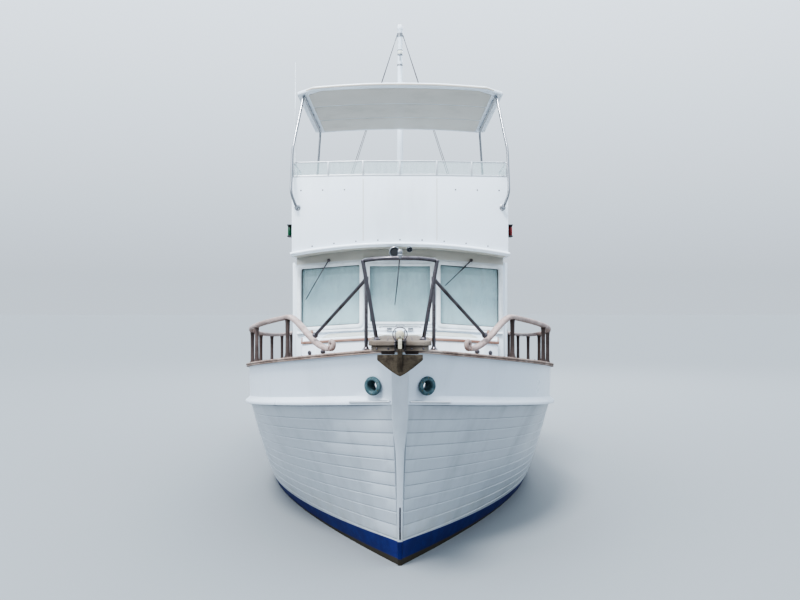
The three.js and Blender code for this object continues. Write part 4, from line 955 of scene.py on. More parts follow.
# slats with rounded edges that run aft from their guide points
def slats(name, points, long, wide, thick, look):
    tree = Growth(name, guideMesh(name, points), Long=long, Wide=wide, Thick=thick, Ease=0.004)
    given = tree.given.out
    outline = tree.add("GeometryNodeCurvePrimitiveQuadrilateral", {"mode": "RECTANGLE"},
        {"Width": given("Wide"), "Height": given("Thick")})
    eased = tree.add("GeometryNodeFilletCurve", {"mode": "POLY"}, {"Curve": outline.out("Curve"), "Count": 3,
        "Radius": given("Ease"), "Limit Radius": True})
    end = tree.add("ShaderNodeCombineXYZ", None, {"X": 0.0, "Y": given("Long"), "Z": 0.0})
    line = tree.add("GeometryNodeCurvePrimitiveLine", None, {"End": end.out()})
    level = tree.add("GeometryNodeSetCurveNormal", {"mode": "Z_UP"}, {"Curve": line.out("Curve")})
    board = tree.add("GeometryNodeCurveToMesh", None, {"Curve": level.out("Curve"),
        "Profile Curve": eased.out("Curve"), "Fill Caps": True})
    tree.grown(board.out("Mesh"), look, angle=40)


# a round foot plate under a tube
def flange(shape, at, out, size=16):
    shape.turned([(size * 2.2, 0.5), (size * 2.2, 6), (size * 1.5, 10), (size * 1.08, 28)], at, 22, out)


def cleat(shape, at, along, out, long=0.24):  # a horned cleat on two feet
    at, along, out = Vector(at), Vector(along).normalized(), Vector(out).normalized()
    horn = [at + along * long * run + out * long * rise for run, rise in ((-0.5, 0.22), (-0.24, 0.18),
        (0.24, 0.18), (0.5, 0.22))]
    shape.tube(horn, long * 0.045, 14, long * 0.15)
    foot = [(100, 0.5 / long), (95, 20), (50, 60), (52, 180)]
    for s in (1, -1):
        shape.turned([(r * long, t * long) for r, t in foot], at + along * s * long * 0.15, 16, out)


# gear at the bow
board = {"front": -6.2, "aft": -4.95, "half": 0.252, "low": 2.031, "top": 2.112, "slot": 0.0423,
    "slotEnd": -5.7}


def anchorBoard():
    front, half = board["front"], board["half"]
    for side in (1, -1):
        outline = [(side * board["slot"], front), (side * (half - 0.06), front),
            (side * (half - 0.02), front + 0.02), (side * half, front + 0.06), (side * half, -5.4),
            (side * 0.16, board["aft"]), (side * 0.004, board["aft"]), (side * 0.004, board["slotEnd"]),
            (side * board["slot"], board["slotEnd"])]
        shape = Shape()
        shape.prism(outline, "z", board["low"] + 0.04, board["top"], 0.009, 3)
        lower = [(x - side * (0.02 if abs(x) > 0.2 else 0), y + (0.018 if y < -6.1 else 0)) for x, y in outline]
        shape.prism(lower, "z", board["low"] - 0.002, board["low"] + 0.0375, 0.006, 2)
        shape.piece(f"bowBoard_{'port' if side > 0 else 'starboard'}", "plankTeak", instead=("anchor_platform",)
            if side > 0 else ())
    legs = Shape()
    legs.block((-0.05, -5.07, 1.45), (0.05, -4.97, board["low"]), 0.006)
    legs.block((-0.15, -5.72, 2.0), (-board["slot"], -6.12, 2.033), 0.006)
    legs.block((board["slot"], -6.12, 2.0), (0.15, -5.72, 2.033), 0.006)
    legs.piece("bowBoardBlocks", "postTeak")
    bolts = []
    for x in (-0.2, -0.1, 0.1, 0.2):
        bolts += [((x, y, board["top"]), (0, 0, 1)) for y in (-6.12, -5.9, -5.66, -5.42)]
        bolts.append(((x * 0.93, board["front"] + 0.018, board["low"] + 0.018), (0, -1, 0)))
    domes("bowBoardBolts", bolts, "darkSteel", 0.009, 0.004)


def bowRollerPiece():
    shape = Shape()
    outline = [(-6.28, 2.03), (-6.29, 2.11), (-6.22, 2.18), (-5.9, 2.19), (-5.86, 2.113), (-5.9, 2.05)]
    for low, high in ((0.034, 0.042), (-0.042, -0.034)):
        shape.prism(outline, "x", low, high, 0.0025)
    shape.block((-0.04, -5.91, 2.055), (0.04, -5.88, 2.075), 0.002)
    shape.turned([(9, -46), (14, -45.5), (14, -42), (9, -41), (9, 41), (14, 42), (14, 45.5), (9, 46)],
        (0, -6.19, 2.08), 16, (1, 0, 0))
    shape.piece("rollerCheeks", "darkSteel", instead=("bow_roller",), angle=30)
    wheel = Shape()
    wheel.turned([(34, -30), (36, -27), (36, -14), (26, 0), (36, 14), (36, 27), (34, 30)], (0, -6.19, 2.08), 28,
        (1, 0, 0))
    wheel.piece("rollerWheel", "plastic")


def anchorPieces():
    metal = Shape()
    spread, thick = 0.18, 0.009
    rows = []
    for k in range(-10, 11):
        u = abs(k) / 10
        x = copysign(spread * u ** 0.95, k) if k else 0.0
        face = -6.352 + 0.088 * u ** 1.4
        low = 1.842 + 0.122 * u ** 1.15
        top = 2.01 - 0.007 * u
        mid = (low + top) / 2
        bow = 0.012 * (1 - u)
        front = [(x, face, low), (x, face + bow, mid), (x, face + 0.028, top)]
        back = [(x, y + thick, z) for _, y, z in reversed(front)]
        rows.append([Vector(p) for p in front + back])
    metal.rows(rows)
    metal.prism([(-6.346, 1.86), (-6.352, 1.99), (-6.33, 2.13), (-6.298, 2.09), (-6.3, 1.885)], "x", -0.02,
        0.02, 0.007)
    metal.piece("ploughShare", "galvanised", instead=("plough_anchor",), angle=30)
    shank = Shape()
    rest = 2.1163
    shank.prism([(-6.25, rest), (-6.3, 2.1), (-6.335, 1.95), (-6.346, 2.12), (-6.32, 2.165), (-6.235, 2.18),
        (-5.64, 2.162), (-5.64, rest)], "x", -0.015, 0.015, 0.005)
    shank.turned([(20, -26), (32, -20), (35, 0), (32, 20), (20, 26)], (0, -6.325, 2.165), 28, (0, 1, 0))
    shank.piece("anchorShank", "paleZinc", angle=30)
    ringShape = Shape()
    loop = [Vector((0.056 * cos(t), -6.332, 2.168 + 0.056 * sin(t)))
        for t in [2 * pi * k / 36 for k in range(37)]]
    ringShape.tube(loop, 0.0042, 10, domed=False)
    ringShape.tube([(0, -6.3, 2.15), (0, -6.35, 2.15)], 0.008, 12)
    ringShape.piece("anchorRing", "darkSteel", slot="galvanised", angle=60)


pulpit = {
    "tube": 0.016, "post": (0.3, -5.33, 2.625), "hoop": (0.3, -6.08, 2.755), "bowY": -6.18,
    "leg": (0.19, -6.02), "foot": (0.8, -4.78, 2.11),
}


def pulpitPieces():
    p = pulpit
    px, py, pz = p["post"]
    hx, hy, hz = p["hoop"]
    share = (py - capLine[3]) / (transom["y"] + transom["rake"] * capLine[2] - capLine[3])
    capZ = parabola(*capLine[:3], share)
    shape = Shape()
    fx, fy, fz = p["foot"]
    rim = [(fx, fy, fz), (px, py, pz), (hx, hy, hz), (hx * 0.55, p["bowY"], hz + 0.012),
        (0, p["bowY"] - 0.02, hz + 0.016)]
    rim += [(-x, y, z) for x, y, z in reversed(rim[:-1])]
    shape.tube(rim, p["tube"], 16, 0.07)
    lx, ly = p["leg"]
    for s in (1, -1):
        shape.tube([(s * px, py, capZ + 0.005), (s * px, py, pz)], p["tube"], 16)
        shape.tube([(s * lx, ly, board["top"] + 0.002), (s * hx, hy, hz)], p["tube"], 16)
        shape.turned([(36, 4.5), (36, 8), (26, 12), (20, 26), (16.5, 30)], (s * px, py, capZ), 22)
        shape.turned([(34, 1), (34, 6), (24, 10), (18, 24)], (s * lx, ly, board["top"]), 22,
            (0.11 * s, -0.06, 0.64))
        shape.turned([(19, -22), (22, -18), (22, 18), (19, 22)], (s * px, py, pz), 20)
        shape.turned([(26, -12), (28, -8), (28, 6), (19, 16)], (s * fx, fy, fz), 20, (-0.5 * s, -0.55, 0.515))
    shape.piece("pulpitTubes", "darkSteel", instead=("bow_pulpit",), angle=45)
    lamp = Shape()
    lamp.turned([(22, 0), (22, 30), (17, 36)], (0, p["bowY"] - 0.01, hz + 0.008), 20)
    lamp.turned([(16, 34), (19, 42), (19, 66), (14, 74)], (0, p["bowY"] - 0.01, hz + 0.008), 20)
    lamp.piece("bowLamp", "stainless")


def hawseRings():  # broad oval flanges with a throat through the bulwark
    section = [(1.0, -0.052), (1.0, -0.039), (0.95, -0.033), (0.86, -0.029), (0.72, -0.027), (0.62, -0.03),
        (0.575, -0.038), (0.56, -0.052), (0.56, -0.13), (0.6, -0.13), (0.6, -0.052)]
    for side, s in sides:
        shape = Shape()
        shape.ring([[hawsePoint(scale, k / 48, out) for scale, out in section] for k in range(48)])
        if s < 0:
            shape.flipped()
        shape.piece(f"hawseOval_{side}", "bronze", instead=(f"hawse_ring_{side}",), angle=60)
        screws = []
        for k in range(6):
            point = hawsePoint(0.86, (k + 0.5) / 6, -0.0295)
            screws.append(((s * point.x, point.y, point.z), (s * hawse["out"].x, hawse["out"].y, 0)))
        domes(f"hawseScrews_{side}", screws, "rawBronze", 0.0055, 0.0025)


def rubStrips():  # the bright half-round strips on the guard at the bow, and a dark one low on the stem
    low = [Vector((0, stem["topY"] + stem["rake"] * (stem["topZ"] - z) - stem["proud"] + 0.001, z))
        for z in (0.57, 0.26)]
    Shape().tube(low, 0.0075, 14).piece("stemStrip", "darkSteel", angle=60)
    for side, s in sides:
        route = []
        for k in range(14):
            point = linePoint(guardFoot, 0.0015 + 0.028 * k / 13)
            proud = guard["proud"] * min(1, (point.x - 0.06) / 0.3)
            route.append((s * (point.x + proud * 0.99 - 0.004), point.y - 0.004, point.z + 0.032))
        Shape().tube(route, 0.012, 14).piece(f"rubStrip_{side}", "brightSteel", angle=60)


def windlassPiece():
    y, z = -4.48, 1.8
    deckZ = parabola(*guardFoot[:3], 0.1) + 0.1
    shape = Shape()
    shape.prism([(-0.15, deckZ - 0.02), (0.15, deckZ - 0.02), (0.13, z - 0.05), (-0.13, z - 0.05)], "x", -0.14,
        0.14, 0.012)
    move = Matrix.Translation((0, y, 0))
    bmesh.ops.transform(shape.bm, matrix=move, verts=shape.bm.verts)
    shape.turned([(50, -100), (88, -92), (95, -70), (95, 70), (88, 92), (50, 100)], (0, y, z), 32, (1, 0, 0))
    for s in (1, -1):
        shape.turned([(42, 90), (42, 110), (70, 118), (66, 130), (40, 150), (38, 185), (46, 210), (70, 222),
            (70, 236), (20, 242)], (0, y, z), 32, (s, 0, 0))
    shape.piece("windlassBody", "rawBronze", instead=("windlass",), slot="stainless", angle=32)


anchorBoard()
bowRollerPiece()
anchorPieces()
pulpitPieces()
hawseRings()
rubStrips()
windlassPiece()
print("bow gear made")


def nodeTree(node):  # a CAD node's faces, to find places on them
    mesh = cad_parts[node].data
    return BVHTree.FromPolygons([v.co for v in mesh.vertices], [p.vertices for p in mesh.polygons])


def dressed(node, look):  # a CAD node that stays, with its finish
    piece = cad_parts[node]
    piece.data.materials.clear()
    piece.data.materials.append(finish[look])


# a closed outline in two measures with its corners rounded
def easedOutline(points, radius, steps=5):
    points, outline = [Vector(p) for p in points], []
    for before, corner, after in zip([points[-1], *points], points, [*points[1:], points[0]]):
        reach = min(radius, (before - corner).length * 0.45, (after - corner).length * 0.45)
        outline += rounded(before, corner, after, reach, steps)
    return outline


def oval(u, v, halfU, halfV, steps=36):
    return [Vector((u + halfU * cos(t), v + halfV * sin(t))) for t in turnsOf(steps)]


# a frame along an outline: its section is (inwards from the outline, out of the face) in millimetres
def framed(shape, outline, section, place):
    rows = []
    for k, point in enumerate(outline):
        along = (outline[(k + 1) % len(outline)] - outline[k - 1]).normalized()
        inward = Vector((-along.y, along.x))
        rows.append([place(*(point + inward * (i / 1000)), out / 1000) for i, out in section])
    shape.ring(rows)


def paned(shape, outline, low, high, place, ease=0.0):  # a flat plate inside an outline
    shape.loft([[place(p.x, p.y, out) for p in outline] for out in (low, high)], ease)


# a plate inside a plan that follows a crowned top, given as a height over x
def crowned(shape, outline, heightAt, low, high, steps=14):
    lowX, highX = min(p[0] for p in outline) - 0.01, max(p[0] for p in outline) + 0.01
    lowY, highY = min(p[1] for p in outline) - 0.02, max(p[1] for p in outline) + 0.02
    cutter = Shape()
    cutter.loft([[(p[0], p[1], z) for p in outline] for z in (0, 9)])
    strip = Shape()
    places = between(lowX, highX, steps)
    loop = [(x, heightAt(x) + low) for x in places] + [(x, heightAt(x) + high) for x in reversed(places)]
    strip.rows([[(x, y, z) for x, z in loop] for y in (lowY, highY)])
    shape.bm.from_mesh(cut(strip, cutter, "INTERSECT"))


def trunkTop(topZ, halfAft):
    return lambda x: topZ + 0.075 * (1 - (x / halfAft) ** 2)


trunks = {
    "fore": {"frontY": -3.5, "aftY": -1.7, "halfFront": 1.11, "halfAft": 1.27, "topZ": 1.985, "hatchY": -3.0},
    "aft": {"frontY": 1.5, "aftY": 4.15, "halfFront": 1.23, "halfAft": 1.13, "topZ": 1.96, "hatchY": 2.75},
    "portlights": {"fore": (-3.0, -2.55), "aft": (2.05, 2.85, 3.65)},
    "lean": 0.045,
}


def trunkSide(which, s):  # the face of a trunk's side wall
    t = trunks[which]
    lowY, highY = t["frontY"] + 0.13, t["aftY"] - 0.06

    def place(y, z, out):
        half = t["halfFront"] + (t["halfAft"] - t["halfFront"]) * (y - lowY) / (highY - lowY)
        lean = trunks["lean"] * (z - 1.0) / (t["topZ"] + 0.2 - 1.0)
        return (s * (half - lean + out), y, z)

    return place


def trunkPieces(which):
    t = trunks[which]
    top = trunkTop(t["topZ"], t["halfAft"])
    easedNode(f"{which}_trunk", f"{which}TrunkShell", "gelcoat", width=0.022, segments=3, angle=22)
    (rims, panes, rails), screws = shapes(3), []
    ring = [(-22, 0.6), (-22, 6), (-14, 11), (2, 10), (10, 4), (10, 1.2), (0, 0.6)]
    for s in (1, -1):
        place = trunkSide(which, s)
        for y in trunks["portlights"][which]:
            z = 1.7 if which == "fore" else 1.66
            outline = oval(y, z, 0.17, 0.075)
            framed(rims, outline, ring, place)
            paned(panes, oval(y, z, 0.158, 0.063), 0.0008, 0.0035, place)
            for k in range(8):
                turn = radians(22.5 + 45 * k)
                spot = place(y + 0.181 * cos(turn), z + 0.086 * sin(turn), 0.0095)
                screws.append((spot, (s, 0, 0)))
        # the wooden grab rail: a bar on feet along the trunk's edge
        lowY, highY = t["frontY"] + 0.32, t["aftY"] - (0.55 if which == "fore" else 0.25)
        feet = max(3, round((highY - lowY) / 0.42))
        route, steps = [], feet * 8
        for k in range(steps + 1):
            y = lowY + (highY - lowY) * k / steps
            half = abs(place(y, t["topZ"], 0)[0]) - 0.11
            route.append(Vector((s * half, y, top(half) + 0.062)))
        rails.sweep(route, roundedSection(0.016, -0.017, 0.017, 0.01, 3))
        for k in range(feet + 1):
            at = route[min(steps, k * 8)]
            y = min(max(at.y, lowY + 0.04), highY - 0.04)
            rails.loft([[(at.x + dx, y + dy, at.z - 0.0628 + up) for dx, dy in ((-0.015, -w), (0.015, -w),
                (0.015, w), (-0.015, w))] for w, up in ((0.042, 0.0), (0.034, 0.012), (0.036, 0.032),
                (0.052, 0.05))], 0.003)
    rims.piece(f"{which}PortlightRims", "stainless", angle=40)
    panes.piece(f"{which}PortlightPanes", "darkGlass")
    rails.piece(f"{which}GrabRails", "trimTeak", angle=40)
    domes(f"{which}PortlightScrews", screws, "stainless", 0.0045, 0.002)
    grip = Shape()
    y = t["hatchY"]
    if which == "fore":
        patches = [(-0.86, 0.86, -3.38, -3.06), (-0.88, -0.36, -3.0, -2.0), (0.36, 0.88, -3.0, -2.0),
            (-0.3, 0.3, -2.33, -2.0)]
    else:
        patches = [(-0.9, -0.36, 1.85, 4.0), (0.36, 0.44, 2.5, 4.0), (0.5, 0.9, 2.5, 4.0),
            (-0.3, 0.3, 3.44, 4.0), (-0.3, 0.3, 1.85, 2.68)]
    for lowX, highX, lowY, highY in patches:
        plan = easedOutline([(lowX, lowY), (highX, lowY), (highX, highY), (lowX, highY)], 0.05, 4)
        crowned(grip, plan, top, 0.0006, 0.003)
    grip.piece(f"{which}TrunkGrip", "grip", angle=30)


def trimPieces():  # the wooden mouldings round the forward trunk
    t = trunks["fore"]
    top = trunkTop(t["topZ"], t["halfAft"])
    trim = Shape()
    half = t["halfFront"] - 0.2
    route = [Vector((x, t["frontY"] + 0.032, top(x) - 0.034)) for x in between(-half, half, 24)]
    trim.sweep(route, roundedSection(0.008, -0.014, 0.014, 0.005, 2))
    for s in (1, -1):
        place = trunkSide("fore", s)
        side = [Vector(place(y, top(1.1) - 0.03, 0.007)) for y in between(-3.34, -1.96, 10)]
        trim.sweep(side, roundedSection(0.007, -0.014, 0.014, 0.005, 2))
        corner = [route[-1 if s > 0 else 0],
            Vector((s * (half + 0.094), t["frontY"] + 0.1024, top(1.0) - 0.032)), side[0]]
        trim.sweep(smoothed(corner, 5), roundedSection(0.007, -0.014, 0.014, 0.005, 2))
    trim.piece("foreTrunkMoulding", "trimTeak", angle=40)
    vents, wall = Shape(), nodeTree("fore_trunk")
    for s in (1, -1):
        for x, z in ((0.985, 1.868), (0.837, 1.885)):
            at, out = wall.ray_cast(Vector((s * x, -6, z)), Vector((0, 1, 0)))[:2]
            vents.turned([(18, -4), (26, -4.2), (26, 6), (20, 10), (1, 12)], at, 22, out)
    vents.piece("trunkVents", "darkSteel")


def hatchPieces(which):
    t = trunks[which]
    y, z = t["hatchY"], trunkTop(t["topZ"], t["halfAft"])(0) + 0.03
    body = f"{which}_hatch"
    easedNode(f"{which}_hatch_lid", f"{which}HatchLid", "gelcoat", body, width=0.007, segments=3)
    rim, pane, metal = shapes(3)
    outline = easedOutline([(-0.225, y + 0.085), (0.225, y + 0.085), (0.225, y + 0.545), (-0.225, y + 0.545)],
        0.05)

    def place(u, v, out):
        return (u, v, z + 0.0343 + out)

    framed(rim, outline, [(-20, 0.4), (-20, 8), (-15, 12), (12, 12), (18, 8), (18, 0.4)], place)
    paned(pane, easedOutline([(-0.206, y + 0.104), (0.206, y + 0.104), (0.206, y + 0.526), (-0.206, y + 0.526)],
        0.04), 0.0006, 0.007, place)
    for x in (-0.12, 0.12):
        metal.block((x - 0.03, y + 0.006, z + 0.0345), (x + 0.03, y + 0.062, z + 0.0385), 0.0015)
        metal.tube([(x - 0.03, y - 0.005, z + 0.0103), (x + 0.03, y - 0.005, z + 0.0103)], 0.0105, 14,
            domed=False)
        metal.block((x - 0.028, y - 0.012, z + 0.012), (x + 0.028, y + 0.008, z + 0.0385), 0.0015)
    metal.tube([(-0.05, y + 0.59, z + 0.035), (-0.05, y + 0.6, z + 0.058), (0.05, y + 0.6, z + 0.058),
        (0.05, y + 0.59, z + 0.035)], 0.006, 12, 0.015)
    rim.piece(f"{which}HatchRim", "brightSteel", body)
    pane.piece(f"{which}HatchPane", "darkGlass", body)
    metal.piece(f"{which}HatchHinges", "stainless", body)


for which in ("fore", "aft"):
    trunkPieces(which)
    hatchPieces(which)
trimPieces()
dressed("deck", "deckTeak")
easedNode("transom_panel", "transomPanelShell", "gelcoat", width=0.004)
easedNode("cap_rail_stern", "sternCapBoard", "capTeak", width=0.011, segments=3)
print("deck and trunks made")


# wheelhouse
house = {
    "half": 1.32, "frontY": -1.96, "aftY": 1.64, "foot": 1.0, "centre": 0.45, "sweep": 0.216, "lean": 0.05,
    "aftLean": 0.01818, "front": [(-1.268, -0.5), (-0.408, 0.408), (0.5, 1.268)], "sill": 2.155, "head": 2.912,
    "droop": 0.6, "roof": 2.985, "camber": 0.115, "roofHalf": 1.35, "roofThick": 0.055,
    "side": [(-0.79, -0.06), (0.06, 0.76), (0.88, 1.48)], "sideSill": 2.15, "sideHead": 2.78,
}


def roofUnder(x):
    return house["roof"] + house["camber"] * (1 - (x / house["roofHalf"]) ** 2)


def droop(x):
    return house["droop"] * house["camber"] * (x / house["roofHalf"]) ** 2


def frontFace(x, z, out):
    y = house["frontY"] + house["lean"] * (z - house["foot"])
    past = abs(x) - house["centre"]
    if past <= 0:
        return (x, y - out, z)
    side = copysign(1, x)
    return (x + side * out * 0.211, y + house["sweep"] * past - out * 0.9775, z)


def sideFace(s):
    return lambda y, z, out: (s * (house["half"] + out), y, z)


def aftFace(x, z, out):
    return (x, house["aftY"] - house["aftLean"] * (z - house["foot"]) + out, z)


def frontOutline(lowX, highX, grow=0.0, corner=0.03):
    lowX, highX, sill, head = lowX - grow, highX + grow, house["sill"] - grow, house["head"] + grow
    return easedOutline([(lowX, sill - droop(lowX)), (highX, sill - droop(highX)), (highX, head - droop(highX)),
        (lowX, head - droop(lowX))], corner)


def boxOutline(lowU, highU, lowV, highV, grow=0.0, corner=0.03):
    return easedOutline([(lowU - grow, lowV - grow), (highU + grow, lowV - grow), (highU + grow, highV + grow),
        (lowU - grow, highV + grow)], corner)


frameSection = [(-42, 0.6), (-42, 10), (-36, 14.5), (1, 14.5), (7, 10), (7, -36), (0.6, -36), (0.6, 0.6)]
# flatter, so that the doors slide past
sideFrameSection = [(inward, min(out, 6)) for inward, out in frameSection]
gasketSection = [(7.2, -28), (13, -30), (15, -39.5), (7.2, -39.5)]


def windowPieces():
    frames, gaskets = shapes(2)
    for lowX, highX in house["front"]:
        framed(frames, frontOutline(lowX, highX), frameSection, frontFace)
        framed(gaskets, frontOutline(lowX, highX), gasketSection, frontFace)
    # the centre window's sash opens outwards under a bar
    outline = frontOutline(*house["front"][1])
    framed(frames, outline, [(0, 15), (0, 26), (4, 30), (26, 30), (30, 26), (30, 8), (8, 8), (8, 15)],
        frontFace)
    frames.loft([[frontFace(x, z, out) for x, z, out in ((-0.446, 2.957, 0.0148), (0.446, 2.957, 0.0148),
        (0.446, 2.983, 0.0008), (-0.446, 2.983, 0.0008))], [frontFace(x, z, out) for x, z,
        out in ((-0.446, 2.957, 0.034), (0.446, 2.957, 0.034), (0.446, 2.983, 0.03), (-0.446, 2.983, 0.03))]],
        0.003)
    # the sill under the three windows
    for lowX, highX in ((-1.3, -0.452), (-0.4485, 0.4485), (0.452, 1.3)):
        loops = []
        for x in between(lowX, highX, 6):
            z = house["sill"] - 0.052 - droop(x)
            loops.append([frontFace(x, z + up, out) for out, up in ((0.0006, 0.0), (0.03, 0.0), (0.036, -0.006),
                (0.036, -0.02), (0.03, -0.026), (0.0006, -0.03))])
        frames.loft(loops)
    frames.piece("frontWindowFrames", "whitePlastic", angle=38)
    gaskets.piece("frontGaskets", "gasket", angle=38)
    for side, s in sides:
        frames, gaskets = shapes(2)
        for lowY, highY in house["side"]:
            outline = boxOutline(lowY, highY, house["sideSill"], house["sideHead"])
            framed(frames, outline, sideFrameSection, sideFace(s))
            framed(gaskets, outline, gasketSection, sideFace(s))
            # the two sliding panes meet in the middle
            at, foot, head = (lowY + highY) / 2 - 0.012, house["sideSill"] + 0.008, house["sideHead"] - 0.008
            meeting = [(at, foot), (at + 0.024, foot), (at + 0.024, head), (at, head)]
            frames.loft([[sideFace(s)(y, z, out) for y, z in meeting] for out in (-0.037, -0.022)], 0.003)
        frames.piece(f"sideWindowFrames_{side}", "stainless", slot="gelcoat", angle=38)
        gaskets.piece(f"sideGaskets_{side}", "gasket", angle=38)
    frames, gaskets = shapes(2)
    for lowX, highX in ((-1.08, -0.14), (0.14, 1.08)):
        outline = boxOutline(lowX, highX, 2.23, 2.78)
        framed(frames, outline, frameSection, aftFace)
        framed(gaskets, outline, gasketSection, aftFace)
    frames.piece("aftWindowFrames", "stainless", slot="gelcoat", angle=38)
    gaskets.piece("aftGaskets", "gasket", angle=38)


# pale covers hang behind the three front windows
windowCover = {"behind": -0.062, "thick": 0.0012, "past": 0.02, "fold": 0.0035}


def coverPieces():
    w = windowCover
    for number, (lowX, highX) in enumerate(house["front"]):
        lowX, highX = lowX - w["past"], highX + w["past"]
        across, down, shape = 44, 30, Shape()
        rng = random.Random(20 + number)
        folds = [(rng.uniform(9, 16), rng.uniform(0, 6.28), rng.uniform(0.4, 1.0)) for _ in range(3)]

        def point(layer, j, i):
            v, x = j / down, lowX + (highX - lowX) * i / across
            z = house["sill"] - w["past"] - droop(x) + (house["head"] - house["sill"] + 2 * w["past"]) * v
            wave = sum(a * sin(x * f + p + 1.5 * v) for f, p, a in folds) * w["fold"] * (1.15 - v)
            return frontFace(x, z, w["behind"] + wave - w["thick"] * layer)

        front, back = [[[shape.bm.verts.new(point(layer, j, i)) for i in range(across + 1)]
            for j in range(down + 1)] for layer in (0, 1)]
        for j in range(down):
            for i in range(across):
                quad = ((j, i), (j, i + 1), (j + 1, i + 1), (j + 1, i))
                shape.bm.faces.new([front[n][m] for n, m in quad])
                shape.bm.faces.new([back[n][m] for n, m in reversed(quad)])
        rim = [(0, i) for i in range(across)] + [(j, across) for j in range(down)]
        rim += [(down, i) for i in range(across, 0, -1)] + [(j, 0) for j in range(down, 0, -1)]
        for (j, i), (n, m) in zip(rim, rim[1:] + rim[:1]):
            shape.bm.faces.new((front[j][i], back[j][i], back[n][m], front[n][m]))
        piece = shape.piece(f"windowCover_{number + 1}", "cover", angle=60)


windowPieces()
coverPieces()
for node, look in (("windshield", "glass"), ("side_glass_port", "darkGlass"),
        ("side_glass_starboard", "darkGlass"), ("aft_glass", "darkGlass")):
    dressed(node, look)
for node, name in (("house_front", "frontWall"), ("house_side_port", "sideWall_port"),
        ("house_side_starboard", "sideWall_starboard"), ("house_aft", "aftWall")):
    easedNode(node, name, "frontGelcoat" if name == "frontWall" else "gelcoat", width=0.006, angle=20)
print("wheelhouse walls made")


def doorPieces(side):  # a wooden sliding door: panel, beads, pane and pull
    s = 1 if side == "port" else -1
    face = sideFace(s)
    body = f"{side}_door"
    lowY, highY = -1.56, -0.92
    easedNode(f"side_door_{side}", f"doorLeaf_{side}", "doorTeak", body, width=0.004)
    wood, metal, pane = shapes(3)
    outline = boxOutline(lowY + 0.1, highY - 0.1, 1.44, 2.05, 0.0, 0.012)
    framed(wood, outline, [(-14, 42.4), (-12, 49), (-4, 52), (6, 46.5), (6, 42.4)], face)
    outline = boxOutline(lowY + 0.1, highY - 0.1, 2.15, 2.78, 0.0, 0.02)
    framed(wood, outline, [(-14, 42.4), (-12, 49), (-3, 50), (4, 44), (4, 30), (0.6, 30), (0.6, 42.4)], face)
    for k in range(4):  # upright staves of the lower panel
        y = lowY + 0.21 + 0.0733 * k
        wood.loft([[face(v, w, out) for v, w in ((y - 0.0025, 1.46), (y + 0.0025, 1.46), (y + 0.0025, 2.03),
            (y - 0.0025, 2.03))] for out in (0.0423, 0.0442)])
    paned(pane, boxOutline(lowY + 0.103, highY - 0.103, 2.153, 2.777, 0.0, 0.02), 0.0285, 0.0297, face)
    metal.tube([face(-1.517, 1.9, 0.043), face(-1.517, 1.9, 0.066), face(-1.517, 2.08, 0.066),
        face(-1.517, 2.08, 0.043)], 0.0065, 12, 0.018)
    metal.turned([(1, 0), (20, 0), (20, 4), (12, 6), (1, 6)], face(-1.517, 1.8, 0.0424), 20, (s, 0, 0))
    wood.piece(f"doorBeads_{side}", "doorTeak", body)
    pane.piece(f"doorPane_{side}", "darkGlass", body)
    metal.piece(f"doorPull_{side}", "stainless", body, angle=50)
    jamb = Shape()  # the white post that the shut door stops against
    jamb.loft([[face(y, z, out) for out, y in ((0.0006, -1.655), (0.0006, -1.584), (0.054, -1.584),
        (0.06, -1.59), (0.056, -1.625), (0.03, -1.655))] for z in (1.31, 2.93)], 0.004)
    jamb.piece(f"doorJamb_{side}", "gelcoat", angle=30)


def wiper(shape, blade, foot, mid, tip, spread):
    foot, mid, tip = (Vector(frontFace(*p)) for p in (foot, mid, tip))
    shape.turned([(20, -30), (20, 0), (16, 12), (6, 16)], foot, 18, (0, -1, 0))
    shape.tube([foot + Vector((0, -0.008, 0)), foot * 0.5 + mid * 0.5 + Vector((0, -0.022, 0)), mid], 0.0065,
        10, 0.03)
    along = (tip - mid).normalized()
    start, end = mid - along * spread, tip
    out = Vector((0, -0.004, 0))
    blade.tube([start + out * 0.2, (start + end) / 2 + out * 2.2, end + out * 0.2], 0.0052, 8, 0.1)
    side = along.cross(Vector((0, 1, 0))) * 0.003
    blade.loft([[start + side, start - side, start - side + Vector((0, 0.011, 0)), start + side
        + Vector((0, 0.011, 0))], [end + side, end - side, end - side + Vector((0, 0.011, 0)), end + side
        + Vector((0, 0.011, 0))]])


def wiperPieces():
    arms, blades = shapes(2)
    wiper(arms, blades, (-0.9, 2.955, 0.012), (-1.09, 2.635, 0.019), (-1.193, 2.456, 0.019), 0.2)
    wiper(arms, blades, (0.9, 2.955, 0.012), (0.685, 2.745, 0.019), (0.565, 2.632, 0.019), 0.2)
    wiper(arms, blades, (0.0, 3.012, 0.016), (-0.04, 2.6, 0.04), (-0.064, 2.39, 0.04), 0.16)
    arms.piece("wiperArms", "darkSteel", angle=40)
    blades.piece("wiperBlades", "plastic", angle=40)


# roof with its brow
brow = {"half": 1.351, "centre": 0.45, "front": -2.261, "corner": -2.121, "snap": 0.27}


def coamingFront(x, out=0.0):  # the flybridge front's y at a place across
    past = max(0.0, abs(x) - 0.45)
    return -2.215 + 0.12 * past / 0.885 - out


